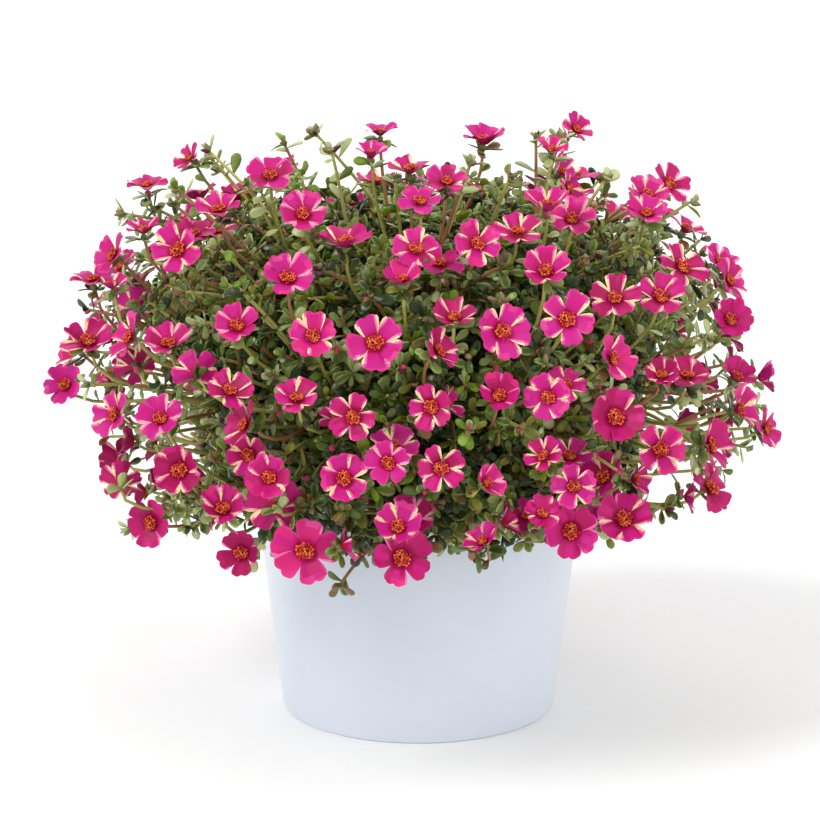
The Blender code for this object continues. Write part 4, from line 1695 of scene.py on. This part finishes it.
def build_woody_base(cells):
    """The stem base and the main boughs as one piece, with the relief of their bark."""
    deselect()
    rings = trunk_profile(SOIL_TOP + GAP)
    radius, height = rings[0]
    bpy.ops.mesh.primitive_circle_add(
        vertices=TRUNK_SIDES, radius=radius, fill_type="NGON", location=(0.0, 0.0, height)
    )
    base = started("woody_base")
    bpy.ops.mesh.select_mode(type="FACE")
    bpy.ops.mesh.select_all(action="SELECT")
    for (radius, height), (next_radius, next_height) in zip(rings, rings[1:]):
        step = (0.0, 0.0, next_height - height)
        bpy.ops.mesh.extrude_region_move(TRANSFORM_OT_translate={"value": step})
        grown = next_radius / radius
        bpy.ops.transform.resize(value=(grown, grown, 1.0), center_override=(0.0, 0.0, next_height))
    bpy.ops.mesh.select_all(action="SELECT")
    bpy.ops.mesh.normals_make_consistent(inside=False)
    bpy.ops.object.mode_set(mode="OBJECT")
    limbs = [model_limb(cell) for cell in cells]
    deselect()
    for limb in limbs:
        limb.select_set(True)
    bpy.context.view_layer.objects.active = limbs[0]
    bpy.ops.object.convert(target="MESH")
    base.select_set(True)
    bpy.context.view_layer.objects.active = base
    bpy.ops.object.join()
    ridges = bpy.data.textures.new("ridges", "CLOUDS")
    ridges.noise_scale = RIDGE_SIZE
    ridges.noise_depth = RIDGE_DEPTH
    relief = base.modifiers.new("Bark", "DISPLACE")
    relief.texture = ridges
    relief.strength = RIDGE_HEIGHT
    relief.mid_level = RIDGE_LEVEL
    bpy.ops.object.modifier_apply(modifier=relief.name)
    bpy.ops.object.shade_smooth()
    barks = (paint(96, 84, 50), paint(128, 116, 66))
    look = mottled_finish("old_bark", barks, 0.003, gloss=(0.6, 0.85), grain=0.0012, relief=0.0004)
    base.data.materials.clear()
    base.data.materials.append(look)
    for face in base.data.polygons:
        face.material_index = 0
    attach(base, "root")
    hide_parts(*nodes_named("trunk"), *nodes_named("bough_"))


def shared_out(groups, triangles_each):
    """Put whole groups together in order, each lot under the limit of triangles."""
    lots = [[]]
    for group in groups:
        held = sum(len(part) for part in lots[-1]) + len(group)
        if lots[-1] and held * triangles_each > PIECE_LIMIT:
            lots.append([])
        lots[-1].append(group)
    return [[item for group in lot for item in group] for lot in lots]


def dress(piece, masses):
    """Every piece of the foliage stands for the masses and moves with the pot."""
    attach(piece, "root")
    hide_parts(*masses)


def clear_of_blooms(leaves, blooms):
    """Drop the leaves that would stand before a bloom or through its petals."""
    tips = arrays(leaf.root + leaf.along * leaf.length for leaf in leaves)
    kept = np.ones(len(leaves), dtype=bool)
    for tip in blooms:
        facing = np.array(tip.facing)
        offset = tips - np.array(tip.place)
        along = offset @ facing
        across = np.linalg.norm(offset - along[:, None] * facing[None, :], axis=1)
        before = (along > BLOOM_CLEAR) & (along < BLOOM_OPEN)
        kept &= ~(before & (across < BLOOM_SHADE * tip.size))
    return [leaf for leaf, keep in zip(leaves, kept) if keep]


def build_foliage(cells):
    """Grow every mass and set its stems, leaves, buds and blooms."""
    chance = random.Random("crown")
    taken = Spacing()
    tips = picture_blooms(chance, taken)
    tips += back_blooms(chance, taken)
    tips += proud_tips(chance, taken)
    tips += leafy_tips(chance, taken)
    blooms = [tip for tip in tips if tip.kind == "bloom"]
    shares = share_among_cells(tips, cells)
    masses = nodes_named("foliage_")
    shoots = []
    outer_groups = []
    inner_groups = []
    buds = []
    for cell in cells:
        chance = random.Random(f"growth {cell.name}")
        grown, carried = grow_mass(cell, shares[cell.name], chance)
        shoots += grown
        outer = []
        inner = []
        for tip, route in carried:
            leaves, more_buds = dress_tip(tip, route, chance)
            if tip.kind == "inner":
                inner += leaves
            else:
                outer += leaves
            buds += more_buds
        outer_groups.append(clear_of_blooms(outer, blooms))
        inner_groups.append(clear_of_blooms(inner, blooms))
    chance = random.Random("tones")
    stem_looks = looks_of(STEM_PAINTS, stem_finish)
    tones = [chance.choice(STEM_TONES) for _ in shoots]
    dress(place_stems("stems", shoots, tones, stem_looks), masses)
    leaf_looks = looks_of(LEAF_PAINTS, leaf_finish)
    for name, leaf, groups in (
        ("leaves", model_leaf(), outer_groups),
        ("shaded_leaves", model_shaded_leaf(), inner_groups),
    ):
        for number, lot in enumerate(shared_out(groups, triangles(leaf))):
            places, slots = place_leaves(leaf, lot)
            dress(copies(f"{name}_{number + 1}", leaf, places, slots, leaf_looks), masses)
    build_buds(buds, masses)
    build_blooms(blooms, masses)


def set_upright(name, pattern, stands, turns, slots, looks, masses):
    """One piece with a copy of a form for each stand: (root, heading, size)."""
    roots, alongs, sizes = zip(*stands)
    places = place_upright(pattern, roots, alongs, sizes, turns)
    dress(copies(name, pattern, places, slots, looks), masses)


def build_buds(buds, masses):
    """Green and pink buds, and the dark points of spent blooms."""
    chance = random.Random("buds")
    bud = model_bud()
    # The pink bud takes the petals' finish, and with it their faint painted glow
    looks = [
        leaf_finish("sepal_green", paint(110, 124, 66)),
        petal_finish("bud_pink", paint(186, 62, 96)),
        leaf_finish("sepal_brown", paint(128, 104, 70)),
    ]
    live = [entry for entry in buds if entry.kind != SPENT_BLOOM]
    turns = [any_turn(chance) for _ in live]
    stands = [(entry.root, entry.along, entry.size) for entry in live]
    # A green bud is green with a brown tip, and a pink one brown with a pink tip
    tones = np.array([[0, 2] if entry.kind == GREEN_BUD else [2, 1] for entry in live])
    set_upright("buds", bud, stands, turns, tones[:, bud.slots], looks, masses)
    withered = model_withered()
    spent = [entry for entry in buds if entry.kind == SPENT_BLOOM]
    turns = [any_turn(chance) for _ in spent]
    stands = [(entry.root, entry.along, entry.size * SPENT_LONGER) for entry in spent]
    # The spent petals also take the petals' faint painted glow
    dark = [petal_finish("spent_petals", paint(84, 34, 46))]
    slots = np.zeros((len(spent), len(withered.sizes)), dtype=np.int64)
    set_upright("spent_blooms", withered, stands, turns, slots, dark, masses)


def build_blooms(blooms, masses):
    """Petals, stamens and green cups of every bloom."""
    chance = random.Random("petals")
    petal = model_petal()
    petal_looks = looks_of(PETAL_PAINTS, petal_finish)
    places, slots = place_petals(petal, blooms, chance)
    dress(copies("petals", petal, places, slots, petal_looks), masses)
    heart = model_heart(model_stamen())
    # Filaments and anthers take the petals' finish, and with it their faint painted glow
    heart_looks = looks_of(HEART_PAINTS, petal_finish)
    turns = [any_turn(chance) for _ in blooms]
    stands = [(tip.place - tip.facing * HEART_SUNK, tip.facing, tip.size * HEART_SIZE) for tip in blooms]
    slots = np.tile(heart.slots, (len(blooms), 1))
    set_upright("stamens", heart, stands, turns, slots, heart_looks, masses)
    calyx = model_calyx()
    stands = [(tip.place - tip.facing * CALYX_SUNK, tip.facing, CALYX_SIZE) for tip in blooms]
    slots = np.zeros((len(blooms), len(calyx.sizes)), dtype=np.int64)
    green = [leaf_finish("calyx_green", paint(106, 126, 64))]
    set_upright("calyxes", calyx, stands, turns, slots, green, masses)


def place_camera():
    """The camera at the photo's own place."""
    data = bpy.data.cameras.new("camera")
    data.lens_unit = "FOV"
    data.angle = CAMERA_VIEW
    camera = bpy.data.objects.new("camera", data)
    camera.location = CAMERA_PLACE
    camera.rotation_euler = (math.pi / 2.0 - CAMERA_PITCH, 0.0, 0.0)
    bpy.context.scene.collection.objects.link(camera)
    bpy.context.scene.camera = camera


def soft_sun(name, azimuth, elevation, spread, strength):
    """Even soft light from one direction, given as seen from the pot."""
    data = bpy.data.lights.new(name, "SUN")
    data.angle = math.radians(spread)
    data.energy = strength
    light = bpy.data.objects.new(name, data)
    light.rotation_euler = (-heading(azimuth, elevation)).to_track_quat("-Z", "Y").to_euler()
    bpy.context.scene.collection.objects.link(light)


def light_studio():
    """Soft light from both sides of the camera and from behind, on a plain pale floor."""
    for sun in SUNS:
        soft_sun(*sun)
    world = bpy.data.worlds.new("studio")
    world.use_nodes = True
    sky = world.node_tree.nodes["Background"]
    sky.inputs["Color"].default_value = (1.0, 1.0, 1.0, 1.0)
    sky.inputs["Strength"].default_value = SKY_STRENGTH
    bpy.context.scene.world = world
    deselect()
    bpy.ops.mesh.primitive_circle_add(vertices=FLOOR_SIDES, radius=FLOOR_RADIUS, fill_type="NGON")
    floor = bpy.context.object
    floor.name = "floor"
    bpy.ops.object.mode_set(mode="EDIT")
    bpy.ops.mesh.select_mode(type="EDGE")
    bpy.ops.mesh.select_all(action="SELECT")
    radius = FLOOR_RADIUS
    for widening, rise in BACKDROP_STEPS:
        bpy.ops.mesh.region_to_loop()
        bpy.ops.mesh.extrude_edges_move(TRANSFORM_OT_translate={"value": (0.0, 0.0, rise)})
        grown = (radius + widening) / radius
        bpy.ops.transform.resize(value=(grown, grown, 1.0), center_override=(0.0, 0.0, 0.0))
        radius += widening
        bpy.ops.mesh.select_all(action="SELECT")
    bpy.ops.object.mode_set(mode="OBJECT")
    bpy.ops.object.shade_smooth_by_angle(angle=SMOOTH_ANGLE)
    look = finish("pale_floor", FLOOR_WHITE, gloss=(0.75, 0.9), grain=0.02, relief=0.0001)
    floor.data.materials.append(look)
    bpy.context.scene.view_settings.view_transform = "Standard"


def main():
    """Camera and light first, then the pot, the soil, the old wood and the foliage."""
    cells = crown_cells()
    place_camera()
    light_studio()
    build_pot()
    build_soil()
    build_woody_base(cells)
    build_foliage(cells)


main()
